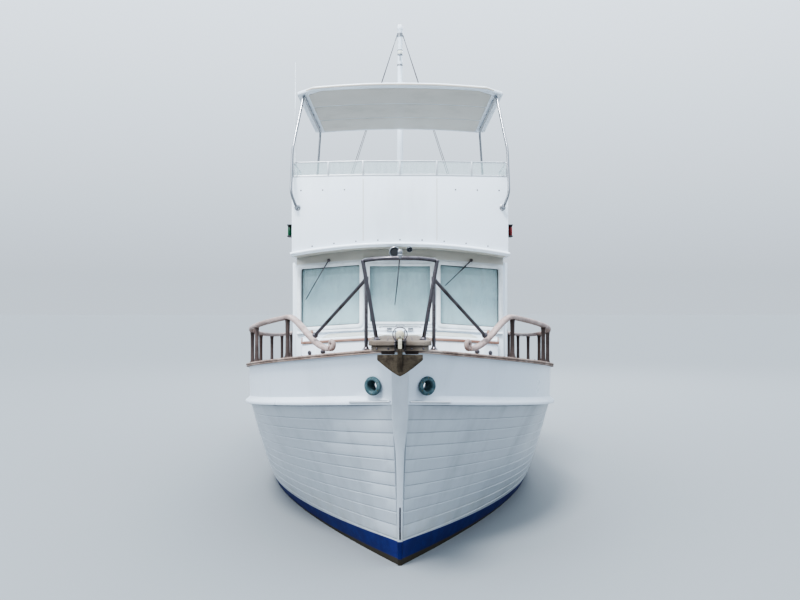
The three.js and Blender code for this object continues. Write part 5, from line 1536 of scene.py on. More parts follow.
def roofPieces():
    thick = house["roofThick"]
    easedNode("house_roof", "roofShell", "gelcoat", width=0.016, segments=3, angle=30)
    # a thin sheet under the brow in the darker gelcoat copy: painted shade on the underside
    shadeLining = Shape()
    plan = [(-1.31, -2.085), (-0.44, -2.225), (0.44, -2.225), (1.31, -2.085), (1.31, -1.69), (0.455, -1.868),
        (-0.455, -1.868), (-1.31, -1.69)]
    crowned(shadeLining, plan, roofUnder, -0.004, -0.0006)
    shadeLining.piece("browShadeSheet", "shadedGelcoat", angle=30)
    edge = Shape()
    half, centre = brow["half"], brow["centre"]
    run = bent([(half, brow["corner"], 0), (centre, brow["front"], 0), (-centre, brow["front"], 0),
        (-half, brow["corner"], 0)], 0.1, 4)
    dense = []
    for a, b in zip(run, run[1:]):
        count = max(1, int((b - a).length / 0.12))
        dense += [a.lerp(b, k / count) for k in range(count)]
    dense.append(run[-1])
    for p in dense:
        p.z = roofUnder(min(1.35, abs(p.x))) + thick * 0.62
    edge.sweep(dense, roundedSection(0.012, -0.014, 0.014, 0.01, 3))
    edge.piece("browMoulding", "gelcoat", angle=50)
    snaps = []
    for k in range(-4, 5):
        x = k * brow["snap"]
        lean = 0.135 * (1 if x > 0.45 else -1 if x < -0.45 else 0)
        snaps.append(((x, coamingFront(x, 0.001), roofUnder(x) + thick + 0.03), (lean, -1, 0)))
    for s in (1, -1):
        for k in range(11):
            y = -1.95 + 0.27 * k
            snaps.append(((s * 1.336, y, roofUnder(1.335) + thick + 0.03), (s, 0, 0)))
    domes("browSnaps", snaps, "darkSteel", 0.0085, 0.0045)
    rails = Shape()
    for s in (1, -1):  # the grab rail along the roof's edge beside the doors
        drip = [(s * 1.3535, y, roofUnder(1.35) + 0.01) for y in between(-1.9, 1.6, 10)]
        rails.sweep(drip, roundedSection(0.004, -0.006, 0.006, 0.003, 2))
        route = [sideFace(s)(y, 2.925, 0.062) for y in (-0.2, 1.52)]
        rails.tube(route, 0.0125, 14)
        for y in (-0.14, 0.4, 0.94, 1.46):
            rails.tube([sideFace(s)(y, 2.925, 0.0), sideFace(s)(y, 2.925, 0.062)], 0.009, 12)
            rails.turned([(24, 0.6), (24, 4), (12, 10)], sideFace(s)(y, 2.925, 0.0), 18, (s, 0, 0))
    rails.piece("sideGrabRails", "stainless", angle=45)


def lampPieces():
    body, lens = shapes(2)
    at = Vector((-0.065, -2.222, 3.03))  # it hangs under the brow by a stirrup
    body.turned([(32, 0.6), (32, 8), (20, 14), (16, 18)], (at.x, -2.195, roofUnder(at.x)), 22, (0, 0, -1))
    for s in (1, -1):
        body.tube([(at.x, -2.195, 3.084), (at.x + s * 0.052, -2.2, 3.078), (at.x + s * 0.064, -2.238, 3.03)],
            0.006, 10, 0.03)
    body.turned([(12, 36), (32, 30), (46, 10), (56, -30), (60, -75), (65, -85), (66, -104), (62, -110),
        (54, -108), (48, -90), (34, -50), (6, -35)], at, 36, (0, 1, 0))
    lens.turned([(1, -98), (30, -101), (53, -96.5), (53.5, -94.5), (1, -94)], at, 36, (0, 1, 0))
    body.piece("searchlightBody", "plastic", instead=("spotlight",), angle=40)
    rim = Shape()
    rim.turned([(62.5, -109.5), (66.5, -107), (66.5, -98), (62.5, -96.5), (55, -108), (55, -111.5),
        (62.5, -111.5)], at, 36, (0, 1, 0), ring=True)
    rim.piece("searchlightRim", "stainless", angle=40)
    lens.piece("searchlightGlass", "plastic", slot="glass", angle=40)
    horn = Shape()
    at = Vector((0.115, -2.195, 3.062))
    horn.turned([(10, 0), (12, -30), (18, -75), (34, -115), (36, -118), (30, -112), (14, -78), (4, -50)], at,
        26, (0, 1, 0))
    horn.tube([(at.x, -2.215, 3.064), (at.x, -2.215, roofUnder(at.x) - 0.0008)], 0.006, 10, domed=False)
    horn.turned([(18, 0.6), (18, 4), (10, 8)], (at.x, -2.215, roofUnder(at.x)), 18, (0, 0, -1))
    horn.piece("hornTrumpet", "stainless", angle=50)
    for side, s, look in (("port", 1, "redLens"), ("starboard", -1, "greenLens")):
        box, lamp = shapes(2)
        face = 1.3353
        box.loft([[Vector((s * (face + a), y, 3.235 + b)) for a, b in ((0, 0), (0.061, 0), (0.061, 0.012),
            (0.004, 0.012), (0.004, 0.138), (0.061, 0.138), (0.061, 0.15), (0, 0.15))] for y in (-2.07, -1.87)],
            0.0015)
        box.block((min(s * face, s * (face + 0.059)), -1.882, 3.237), (max(s * face, s * (face + 0.059)),
            -1.872, 3.383), 0.002)
        for z in (3.2475, 3.3625):
            lamp.turned([(1, 0), (30, 0), (33, 2), (33, 8), (30, 10), (1, 10)], (s * (face + 0.034), -1.95, z),
                24)
        box.piece(f"sideLampBox_{side}", "plastic", instead=(f"nav_light_{side}",), angle=30)
        lamp.piece(f"sideLampCaps_{side}", "plastic", angle=40)
        glow = Shape()
        glow.turned([(1, 22.5), (28, 22.5), (31, 30), (31, 120), (28, 127.5), (1, 127.5)],
            (s * (face + 0.034), -1.95, 3.235), 28)
        glow.piece(f"sideLampLens_{side}", look, angle=50)


for side in ("port", "starboard"):
    doorPieces(side)
wiperPieces()
roofPieces()
lampPieces()
print("doors, roof and lamps made")


# flybridge
fly = {"top": 3.96, "side": 3.64, "screen": 4.15, "half": 1.335, "screenAft": -1.25}
hardTop = {"edge": 5.03, "camber": 0.06, "half": 1.3, "thick": 0.05, "front": -2.08, "aft": 0.8}


def hardTopUnder(x):
    return hardTop["edge"] + hardTop["camber"] * (1 - (x / hardTop["half"]) ** 2)


def coamingPieces():
    easedNode("flybridge_coaming", "coamingShell", "gelcoat", width=0.012, segments=3)
    # thin beads where the front bends, in the darker gelcoat copy: painted shade in the creases
    seams = Shape()
    for x in (-0.45, 0.45):
        seams.tube([(x, coamingFront(x) - 0.0005, roofUnder(x) + 0.085), (x, coamingFront(x) - 0.0005, 3.93)],
            0.0032, 8)
    seams.piece("coamingCreaseShade", "shadedGelcoat", angle=60)
    snaps = []
    for x in (-1.22, -0.95, -0.68, 0.68, 0.95, 1.22):
        lean = 0.135 * (1 if x > 0 else -1)
        snaps.append(((x, coamingFront(x, 0.001), 3.8), (lean, -1, 0)))
    for s in (1, -1):
        snaps += [((s * 1.336, y, 3.8), (s, 0, 0)) for y in (-1.9, -1.6, -1.3, -1.0)]
    domes("coamingSnaps", snaps, "darkSteel", 0.0085, 0.0045)
    cap = Shape()
    route = [(1.315, fly["screenAft"], 0), (1.315, -2.075, 0), (0.45, -2.195, 0), (-0.45, -2.195, 0),
        (-1.315, -2.075, 0), (-1.315, fly["screenAft"], 0)]
    top = bent([Vector((x, y, fly["screen"])) for x, y, _ in route], 0.02, 3)
    cap.sweep(top, roundedSection(0.0075, -0.01, 0.005, 0.004, 2))
    foot = bent([Vector((x, y, fly["top"] + 0.018)) for x, y, _ in route], 0.02, 3)
    cap.sweep(foot, roundedSection(0.009, -0.0174, 0.012, 0.004, 2))
    posts = [(-1.315, -1.26), (1.315, -1.26), (-1.315, -1.66), (1.315, -1.66), (-1.315, -2.075),
        (1.315, -2.075), (-0.88, -2.1355), (0.88, -2.1355), (-0.45, -2.195), (0.45, -2.195), (0.0, -2.195)]
    for x, y in posts:
        cap.block((x - 0.01, y - 0.01, fly["top"] + 0.002), (x + 0.01, y + 0.01, fly["screen"] - 0.002), 0.003)
    cap.piece("screenFrame", "brightSteel", angle=40)
    dressed("windscreen", "glass")


# the sloping dash where the wheel stands: its middle and its ways across, out and up
dash, across = Vector((-0.48, -1.6, 3.84)), Vector((1, 0, 0))
dashOut = Vector((0, 0.68232, 0.73106)).normalized()
dashUp = across.cross(dashOut)


# a locker door: a raised frame, its flat width in millimetres, round a plate
def locker(shape, lowU, highU, lowV, highV, flat, inset, place):
    framed(shape, boxOutline(lowU, highU, lowV, highV, 0.0, 0.02), [(-4, 0.6), (-4, 6), (0, 8), (flat, 8),
        (flat + 4, 4), (flat + 4, 0.6)], place)
    paned(shape, boxOutline(lowU, highU, lowV, highV, -inset, 0.015), 0.0006, 0.004, place)


def consolePieces():
    easedNode("flybridge_console", "consoleShell", "gelcoat", width=0.014, segments=3)
    axis, up = dashOut, dashUp

    def place(u, v, out):
        return dash + across * u + up * v + axis * out

    bezels, dials, knobs, marks = shapes(4)
    panel = boxOutline(-0.33, 0.33, 0.052, 0.178, 0.0, 0.02)
    paned(knobs, panel, 0.0006, 0.005, place, 0.0015)
    for u in (-0.265, -0.165, -0.065, 0.065, 0.165):
        centre = place(u, 0.115, 0.005)
        bezels.turned([(40, 0), (40, 6), (36, 9), (33, 6), (33, 0)], centre, 28, axis)
        dials.turned([(1, 1), (33.5, 1), (33.5, 3), (1, 3)], centre, 28, axis)
        hub = centre + axis * 0.0042
        marks.tube([hub, hub + up * 0.022 + across * copysign(0.008, u)], 0.0012, 6)
        marks.turned([(1, 3), (4, 3), (4, 5.5), (1, 5.5)], centre, 12, axis)
        for k in range(9):
            turn = radians(-130 + 32.5 * k)
            spot = centre + (across * sin(turn) + up * cos(turn)) * 0.028 + axis * 0.0034
            marks.turned([(0.4, 0), (1.6, 0), (1.6, 0.6), (0.4, 0.6)], spot, 6, axis)
    for k in range(5):
        spot = place(0.245, 0.158 - 0.021 * k, 0.005)
        knobs.block((spot.x - 0.012, spot.y - 0.004, spot.z - 0.004), (spot.x + 0.012, spot.y + 0.004,
            spot.z + 0.006), 0.0015)
    levers = Shape()
    for n, u in enumerate((0.285, 0.335)):
        base = place(u, -0.06, 0.0)
        levers.turned([(30, 0.6), (30, 12), (20, 26), (4, 32)], base, 22, axis)
        tip = base + axis * 0.13 + up * (0.03 if n else 0.01)
        levers.tube([base + axis * 0.01, tip], 0.005, 10)
        levers.turned([(4, -18), (14, -14), (18, 0), (14, 14), (4, 18)], tip, 18, axis)
    compass = Shape()
    spot = Vector((-0.48, -1.875, 3.9415))
    compass.turned([(75, -12), (75, 10), (66, 22), (62, 30), (1, 31)], spot, 32)
    compass.piece("compassBowl", "plastic")
    dome = Shape()
    dome.turned([(60, 30), (58, 45), (50, 62), (34, 76), (14, 83), (1, 84)], spot, 32)
    dome.piece("compassDome", "clearLens", angle=60)
    bezels.piece("dialBezels", "stainless", angle=40)
    dials.piece("dialFaces", "whitePlastic", angle=40)
    marks.piece("dialHands", "plastic", angle=40)
    knobs.piece("dashPanel", "plastic", slot="gelcoat")
    levers.piece("throttleLevers", "stainless", angle=45)
    doors = Shape()

    def aftPlace(u, v, out):
        return (u, -1.54 + out, v)

    for lowX in (-0.84, -0.46):
        locker(doors, lowX, lowX + 0.34, 3.2, 3.44, 16, 0.018, aftPlace)
    doors.piece("consoleDoors", "whitePlastic")


def wheelPieces():
    axis, up = dashOut, dashUp
    centre = dash + axis * 0.12
    rim, metal = shapes(2)

    def ringPoint(turn, radius, lift=0.0):
        return centre + (across * cos(turn) + up * sin(turn)) * radius + axis * lift

    rows = []
    for k in range(64):
        turn = 2 * pi * k / 64
        grip = 0.0125 + 0.0015 * cos(turn * 12)
        way = (across * cos(turn) + up * sin(turn))
        rows.append([centre + way * (0.19 + grip * cos(a)) + axis * (grip * sin(a)) for a in turnsOf(12)])
    rim.ring(rows)
    for n in range(3):
        turn = pi / 2 + n * 2 * pi / 3
        metal.tube([ringPoint(turn, 0.02, -0.004), ringPoint(turn, 0.1, -0.012), ringPoint(turn, 0.186, 0.0)],
            0.0075, 12, 0.04)
    metal.turned([(20, -119.5), (22, -115), (22, -30), (36, -16), (38, 0), (34, 14), (18, 18), (1, 18.5)],
        centre, 30, axis)
    rim.piece("wheelRim", "plastic", "wheel", instead=("steering_wheel",), angle=60)
    metal.piece("wheelSpokes", "stainless", "wheel", angle=45)


def hardTopPieces():
    easedNode("hard_top", "hardTopShell", "gelcoat", width=0.018, segments=3, angle=30)
    # three lining panels under the hard top, coloured with the darker gelcoat copy: painted shade on the underside
    shadeLining = Shape()
    for lowY, highY in ((-1.98, -1.1), (-1.06, -0.18), (-0.14, 0.7)):
        reach = 1.155
        lowHalf = 0.98 if lowY < -1.9 else reach
        plan = easedOutline([(-lowHalf, lowY), (lowHalf, lowY), (reach, lowY + 0.17), (reach, highY),
            (-reach, highY), (-reach, lowY + 0.17)], 0.03, 3)
        crowned(shadeLining, plan, hardTopUnder, -0.0035, -0.0006)
    shadeLining.piece("hardTopShadeLining", "shadedGelcoat", angle=30)
    # the bead along the front edge, in the darker gelcoat copy: painted shade
    trim = Shape()
    edge = [Vector((x, y, 0)) for x, y in ((-1.3, -1.8), (-1.08, -2.04), (-0.45, -2.08), (0.45, -2.08),
        (1.08, -2.04), (1.3, -1.8))]
    dense, count = [], 5
    for a, b in zip(edge, edge[1:]):
        dense += [a.lerp(b, k / count) for k in range(count)]
    dense.append(edge[-1])
    for p in dense:
        p.z = hardTopUnder(p.x) + 0.026
    trim.sweep(dense, roundedSection(0.006, -0.011, 0.011, 0.005, 2))
    trim.piece("hardTopTrim", "shadedGelcoat", angle=50)


def topFramePieces():
    run, back = 1.335 - 0.45, 0.12
    long = hypot(run, back)
    normal = Vector((back / long, -run / long, 0))
    foot = Vector((1.262, -2.215 + (1.262 - 0.45) * back / run, 3.59))
    railX, radius = 1.215, 0.016
    railZ = hardTopUnder(railX) - radius - 0.0012
    stern = Vector((1.315, 0.7, 3.64))
    for side, s in sides:
        shape = Shape()
        route = [foot + normal * 0.0003, foot + normal * 0.07, (1.332, -2.205, 3.76), (1.322, -2.13, 4.3),
            (railX, -1.85, railZ), (railX, 0.64, railZ), (stern.x, stern.y, 3.646)]
        shape.tube(route, radius, 16, 0.07, domed=False)
        shape.turned([(38, 0.4), (38, 5), (30, 10), (20, 26)], foot, 26, normal)
        shape.turned([(30, 0.4), (30, 5), (22, 10), (17.5, 30)], stern, 24)
        for y in (-1.5, -0.6, 0.3):
            shape.block((railX - 0.022, y - 0.018, railZ + 0.008), (railX + 0.022, y + 0.018, railZ + 0.0168),
                0.002)
        if s < 0:
            shape.flipped()
        shape.piece(f"topFrameTubes_{side}", "stainless", instead=(f"top_frame_{side}",), angle=45)


def railingPieces():
    for side, s, acrossX in (("port", 1, 0.94), ("starboard", -1, -0.42)):
        shape = Shape()
        sideX, startY, cornerY, topZ = 1.312, 1.04, 1.64, 3.9
        lower = topZ - 0.33
        shape.tube([(sideX, startY, topZ), (sideX, cornerY, topZ), (acrossX, cornerY, topZ)], 0.016, 16, 0.07)
        shape.tube([(sideX, startY, lower), (sideX, cornerY, lower), (acrossX, cornerY, lower)], 0.011, 14,
            0.07)
        for x, y in ((sideX, startY), (sideX, cornerY), (acrossX, cornerY)):
            foot = roofUnder(min(1.35, abs(x))) + 0.0556
            high = topZ if (x, y) != (sideX, cornerY) else topZ - 0.02
            shape.tube([(x, y, foot), (x, y, high)], 0.016, 16, domed=False)
            shape.turned([(36, 0.4), (36, 6), (24, 10), (18, 30)], (x, y, foot), 22)
            for z in (lower, topZ):
                shape.turned([(18, -20), (20.5, -16), (20.5, 12), (18, 16)], (x, y, z - 0.004), 18)
        if s < 0:
            shape.flipped()
        shape.piece(f"bridgeRailTubes_{side}", "stainless", instead=(f"flybridge_rail_{side}",), angle=45)


def ladderPieces():
    metal, treads = shapes(2)
    footY, headY, headZ, footZ = 2.33, 1.745, 3.18, 1.9
    trunk = trunkTop(1.96, 1.23)
    for x in (0.48, 0.88):
        start = Vector((x, footY, trunk(x) + 0.002))
        start.y = footY + (headY - footY) * (start.z - footZ) / (headZ - footZ)
        end = Vector((x, 1.49, roofUnder(x) + 0.0562))
        metal.tube([start, (x, headY, headZ), (x, 1.7, 3.76), (x, 1.56, 3.8), (x, 1.49, 3.7), end], 0.016, 16,
            0.07, domed=False)
        metal.turned([(34, 0.4), (34, 6), (22, 12), (17, 30)], end - Vector((0, 0, 0.0004)), 22)
        metal.turned([(34, -1), (34, 6), (22, 14), (17, 30)], start - Vector((0, 0, 0.0012)), 22)
    metal.piece("ladderStiles", "stainless", instead=("flybridge_ladder",), angle=45)
    for share in (0.28, 0.46, 0.64, 0.82):
        y, z = footY + (headY - footY) * share, footZ + (headZ - footZ) * share
        treads.block((0.487, y - 0.045, z - 0.012), (0.873, y + 0.045, z + 0.012), 0.006, 3)
    treads.piece("ladderTreads", "plankTeak")


coamingPieces()
consolePieces()
wheelPieces()
hardTopPieces()
topFramePieces()
railingPieces()
ladderPieces()
print("flybridge made")


# cushions: one boxed pad is blown up by the cloth solver and set in each place
pad = {"half": (0.318, 0.155), "high": 0.084, "voxel": 0.0075, "pressure": 4.0, "frames": 20, "move": 0.024,
    "widest": 0.3292, "welt": 0.0042, "welts": (0.014, 0.074)}


def stuffedPad():
    x, y = pad["half"]
    shape = Shape()
    shape.block((-x, -y, 0.001), (x, y, pad["high"]), 0.016, 3)
    box = bpy.data.meshes.new("padWork")
    shape.bm.to_mesh(box)
    shape.bm.free()
    work = linked("padWork", box)
    remesh = work.modifiers.new("remesh", "REMESH")
    remesh.mode, remesh.voxel_size = "VOXEL", pad["voxel"]
    work.data = finished(work)
    work.modifiers.clear()
    start = [v.co.copy() for v in work.data.vertices]
    cloth = work.modifiers.new("cloth", "CLOTH")
    cloth.settings.use_pressure = True
    cloth.settings.uniform_pressure_force = pad["pressure"]
    cloth.settings.effector_weights.gravity = 0
    cloth.point_cache.frame_end = pad["frames"]
    for k in range(1, pad["frames"] + 1):
        scene.frame_set(k)
    swollen = finished(work)
    work.modifiers.clear()
    for vertex, before, after in zip(work.data.vertices, start, swollen.vertices):
        step = after.co - before
        if step.length > pad["move"]:
            step *= pad["move"] / step.length
        vertex.co = before + step
    scene.frame_set(1)
    for vertex in work.data.vertices:  # flat where it rests, and clear of the next pad
        vertex.co.z = max(vertex.co.z, 0.0008)
        vertex.co.x = max(-pad["widest"], min(pad["widest"], vertex.co.x))
    subdivision = work.modifiers.new("smooth", "SUBSURF")
    subdivision.levels = subdivision.render_levels = 1
    mesh = finished(work)
    bpy.data.objects.remove(work)
    return mesh


def weltLoops(mesh):  # where the piping lies, found on the pad itself
    tree = BVHTree.FromPolygons([v.co for v in mesh.vertices], [p.vertices for p in mesh.polygons])
    x, y = pad["half"]
    loops = []
    for z in pad["welts"]:
        ring = []
        for p in easedOutline([(-x, -y), (0, -y), (x, -y), (x, 0), (x, y), (0, y), (-x, y), (-x, 0)], 0.05, 9):
            out = Vector((p.x / x, p.y / y, 0)).normalized()
            hit = tree.ray_cast(Vector((p.x, p.y, z)) + out * 0.1, -out)[0]
            ring.append(hit if hit else Vector((p.x, p.y, z)))
        loops.append(ring)
    return loops


def cushionPieces():
    mesh = stuffedPad()
    loops = weltLoops(mesh)
    lean = atan2(0.06, 0.46)
    places = []
    for k in (-1, 0, 1):
        seat = Matrix.Translation((0.66 * k, -0.49, 3.4408)) @ Matrix.Diagonal((1, 1.01, 1.06, 1))
        back = Matrix.Translation((0.66 * k, -0.1975, 3.7175)) @ Matrix.Rotation(radians(90) - lean, 4, "X")
        places += [(f"seatPad_{k + 2}", seat, "bench_cushion"),
            (f"backPad_{k + 2}", back @ Matrix.Diagonal((1, 1.06, 0.9, 1)), "back_cushion")]
        side = Matrix.Translation((0.0, 0.475 + 0.652 * k, 0.0))
        seat = side @ Matrix.Translation((0.885, 0, 1.506)) @ Matrix.Rotation(radians(90), 4, "Z")
        back = side @ Matrix.Translation((1.155, 0, 1.85)) @ Matrix.Rotation(radians(-90), 4, "Z")
        back = back @ Matrix.Rotation(radians(84.8), 4, "X") @ Matrix.Diagonal((0.99, 1.2, 0.8, 1))
        places += [(f"setteeSeat_{k + 2}", seat @ Matrix.Diagonal((0.99, 1.12, 1.1, 1)), None),
            (f"setteeBack_{k + 2}", back, None)]
    welts = Shape()
    for name, matrix, node in places:
        copy = mesh.copy()
        copy.transform(matrix)
        first = node and name.endswith("1")
        piece = placed(name, copy, "vinyl", instead=(node,) if first else (), angle=70)
        for ring in loops:
            welts.hoop([matrix @ p for p in ring], pad["welt"], 8)
    welts.piece("padWelts", "vinyl", angle=70)


def benchPieces():
    easedNode("flybridge_bench", "benchShell", "gelcoat", width=0.012, segments=3)
    doors, pulls = shapes(2)

    def place(u, v, out):
        return (u, -0.64 - out, v)

    for k in (-1, 0, 1):
        locker(doors, 0.64 * k - 0.27, 0.64 * k + 0.27, 3.14, 3.37, 18, 0.02, place)
        pulls.turned([(22, 4.5), (22, 8), (16, 9), (14, 6), (1, 6)], place(0.64 * k, 3.335, 0), 20, (0, -1, 0))
    doors.piece("benchDoors", "whitePlastic")
    pulls.piece("benchPulls", "stainless")


def saloonPieces():
    easedNode("inside_helm", "saloonHelm", "doorTeak", width=0.012, segments=3)
    easedNode("galley", "galleyBody", "doorTeak", width=0.008)
    base = Shape()
    base.prism([(0.7, 1.24), (0.7, 1.5), (1.16, 1.505), (1.2, 2.06), (1.235, 2.06), (1.238, 1.24)], "y", -0.5,
        1.45, 0.008)
    base.piece("setteeBase", "doorTeak", instead=("settee",), angle=30)
    fronts, knobs = shapes(2)
    for k in range(3):
        for at, low, high in ((-0.64, 1.42, 2.0), (0.7, 1.29, 1.47)):
            lowY = -0.27 + 0.57 * k if at < 0 else -0.45 + 0.64 * k
            way = 1 if at < 0 else -1

            def place(u, v, out, at=at, way=way):
                return (at + way * out, u, v)

            outline = boxOutline(lowY, lowY + 0.52, low, high, 0.0, 0.01)
            framed(fronts, outline, [(0, 0.6), (0, 12), (4, 14), (50, 14), (56, 6), (56, 0.6)], place)
            knobs.turned([(6, 14), (6, 22), (13, 28), (13, 34), (4, 38)], place(lowY + 0.26, high - 0.025, 0),
                16, (way, 0, 0))
    fronts.piece("lockerFronts", "trimTeak")
    knobs.piece("lockerKnobs", "rawBronze", angle=40)


benchPieces()
cushionPieces()
saloonPieces()
print("seats and saloon made")


# mast, stays, boom and aerial
rig = {"y": 1.25, "foot": 0.055, "head": 0.038, "low": 3.0, "top": 6.8, "band": 6.68, "lamp": 6.35,
    "boomZ": 4.205, "boomEnd": (0.0, 4.35, 4.64), "aerial": (-1.385, -1.25, 3.2)}


def mastRadius(z):
    return rig["foot"] + (rig["head"] - rig["foot"]) * (z - rig["low"]) / (rig["top"] - rig["low"])


def band(shape, radius, half, at, along, sunk=4, proud=3):  # a metal band round a spar
    r = radius * 1000
    shape.turned([(r - sunk, -half), (r + proud, 2 - half), (r + proud, half - 2), (r - sunk, half)], at, 28,
        along)


def mastPieces():
    y = rig["y"]
    foot = roofUnder(0) + house["roofThick"]
    spar, metal = shapes(2)
    r = mastRadius
    taper = [(r(z) * 1000, z * 1000) for z in (3.3, 3.9, 4.5, 5.2, 5.9, 6.4, 6.76)]
    spar.turned([(55, foot * 1000 + 1), *taper, (45, 6772), (46, 6800), (36, 6834), (14, 6845.5)], (0, y, 0),
        32)
    metal.turned([(95, foot * 1000 + 0.6), (95, 3166), (88, 3176), (66, 3180), (60, 3190), (50, 3190)],
        (0, y, 0), 32)
    metal.turned([(45, 4119.5), (74, 4119.5), (76, 4121.5), (76, 4157.5), (74, 4159.5), (45, 4159.5)],
        (0, y, 0), 32)
    for z in (3.6, 5.4, 6.2):
        band(metal, r(z), 16, (0, y, z), (0, 0, 1))
    for s in (1, -1):
        cleat(metal, (s * (r(3.8) - 0.001), y, 3.8), (0, 0, 1), (s, 0, 0), 0.17)
    bolts = [((0.08 * cos(t), y + 0.08 * sin(t), 3.178), (0, 0, 1)) for t in [radians(22.5 + 45 * k)
        for k in range(8)]]
    domes("mastStepBolts", bolts, "stainless", 0.007, 0.004)
    lampY, z = y - 0.17, rig["lamp"]
    metal.tube([(0, y, z), (0, lampY, z)], 0.01, 12, domed=False)
    metal.tube([(0, y - 0.03, z - 0.09), (0, y - 0.1, z - 0.03), (0, lampY + 0.02, z - 0.02)], 0.006, 10, 0.03)
    metal.turned([(41, -35), (42, -33), (42, -22), (36, -19)], (0, lampY, z), 26)
    metal.turned([(36, 36), (42, 38), (42, 45), (30, 49.8)], (0, lampY, z), 26)
    lens = Shape()
    lens.turned([(35, -19), (38.5, -12), (38.5, 30), (35, 36)], (0, lampY, z), 26)
    lens.piece("mastLampLens", "clearLens", angle=50)
    spar.piece("mastSpar", "gelcoat", instead=("mast",), angle=40)
    metal.piece("mastFittings", "stainless", angle=45)


def stayPieces():
    y, bandZ = rig["y"], rig["band"]
    inner = mastRadius(bandZ)
    metal, wire = shapes(2)
    band(metal, inner, 28, (0, y, bandZ), (0, 0, 1), 3, 9)
    for x in (1.225, -1.225):
        for footY in (1.05, 1.53):
            foot = Vector((x, footY, roofUnder(x) + house["roofThick"]))
            head = Vector((copysign(inner + 0.007, x), y, bandZ))
            along = (head - foot).normalized()
            metal.turned([(28, 0.5), (28, 8), (22, 11.5), (10, 12)], foot, 22)
            metal.turned([(6, 4), (11, 12), (11, 34), (5, 42), (5, 70), (9.5, 75), (10.5, 90), (10.5, 220),
                (9.5, 235), (5, 240), (5, 290), (7, 295), (7, 350), (4.5, 360)], foot, 16, along)
            metal.turned([(4.5, -100), (7, -90), (7, -30), (10, -20), (10, 0)], head, 14, along)
            wire.tube([foot + along * 0.3, head - along * 0.04], 0.004, 10)
    metal.piece("stayFittings", "stainless", instead=("mast_shrouds",), angle=45)
    wire.piece("stayWires", "darkSteel", angle=60)


def boomPieces():
    origin = Vector((0, rig["y"], rig["boomZ"]))
    end = Vector(rig["boomEnd"])
    start = origin + Vector((0, 0.07, 0))
    along = (end - start).normalized()
    long = (end - start).length
    spar, metal = shapes(2)
    reach = long * 1000
    spar.turned([(36, 0), (42, 20), (41.5, 500), (34, reach), (33, reach + 10), (24, reach + 26),
        (4, reach + 33)], start, 28, along)
    metal.turned([(57.5, -45), (80, -45), (82, -43), (82, 43), (80, 45), (57.5, 45)], origin, 36, ring=True)
    metal.block((-0.014, rig["y"] + 0.078, rig["boomZ"] - 0.036), (0.014, rig["y"] + 0.15, rig["boomZ"]
        + 0.036), 0.004)
    for share in (0.3, 0.62, 0.955):
        at, r = start + along * long * share, 0.042 - 0.008 * share
        band(metal, r, 20, at, along)
        if share > 0.5:
            down = Vector((0, 0, -1))
            metal.tube([at + Vector((0.014, 0, -0.034)), at + Vector((0.012, 0, -0.062)),
                at + Vector((-0.012, 0, -0.062)), at + Vector((-0.014, 0, -0.034))], 0.004, 10, 0.012)
            metal.turned([(10, -13), (28, -11), (30, 0), (28, 11), (10, 13)], at + down * 0.094, 22, (1, 0, 0))
    cleat(metal, start + along * long * 0.16 + Vector((0, 0, -0.0405)), along, (0, 0, -1), 0.17)
    spar.piece("boomSpar", "gelcoat", "boom", instead=("boom",), angle=40)
    metal.piece("boomFittings", "stainless", "boom", angle=45)


def aerialPieces():
    at = Vector(rig["aerial"])
    metal, whip = shapes(2)
    metal.turned([(8.5, -14), (22, -14), (24, -12), (24, 12), (22, 14), (8.5, 14)], at, 28, (1, 0, 0),
        ring=True)
    metal.turned([(13, 19), (19, 24), (19, 70), (16, 80)], at, 22)
    whip.turned([(16.5, 76), (16.5, 120), (14, 160), (11, 165), (8.5, 1300), (5, 2390), (2, 2400)], at, 16)
    metal.piece("aerialKnuckle", "stainless", "antenna", instead=("antenna",), angle=45)
    whip.piece("aerialWhip", "whitePlastic", "antenna", angle=45)


mastPieces()
stayPieces()
boomPieces()
aerialPieces()
print("rig made")


# deck fittings
deckTree = nodeTree("deck")


def deckTop(x, y):
    return deckTree.ray_cast(Vector((x, y, 4)), Vector((0, 0, -1)))[0].z


def fittingPieces():
    metal, caps = shapes(2)
    bungs = []
    for s in (1, -1):
        for share in (0.452, 0.832):
            at, ahead = capCentre(share), capCentre(share + 0.01)
            along = ahead - at
            at.x, along.x = s * at.x, s * along.x
            cleat(metal, at, along, (0, 0, 1), 0.24)
        for x, y in ((0.46, -4.3), (1.42, 4.85)):
            cleat(metal, (s * x, y, deckTop(s * x, y)), (0.35 * s, 1, 0), (0, 0, 1), 0.28)
        for y in (0.45, 2.35):
            z = deckTop(s * 1.56, y)
            caps.turned([(48, 0.3), (48, 4), (40, 6), (38, 4), (12, 4), (10, 6), (1, 6)], (s * 1.56, y, z), 30)
        for k in range(2, 98):
            share = k / 99
            if min(abs(share - post) for post in rail["posts"]) > 0.006 and k % 2:
                for inset in (-0.028, 0.028):
                    p = capCentre(share)
                    bungs.append(((s * (p.x + inset), p.y, p.z + 0.0002), (0, 0, 1)))
    metal.piece("deckCleats", "stainless", angle=50)
    caps.piece("deckCaps", "rawBronze", angle=40)
    domes("capBungs", bungs, "postTeak", 0.0065, 0.001)


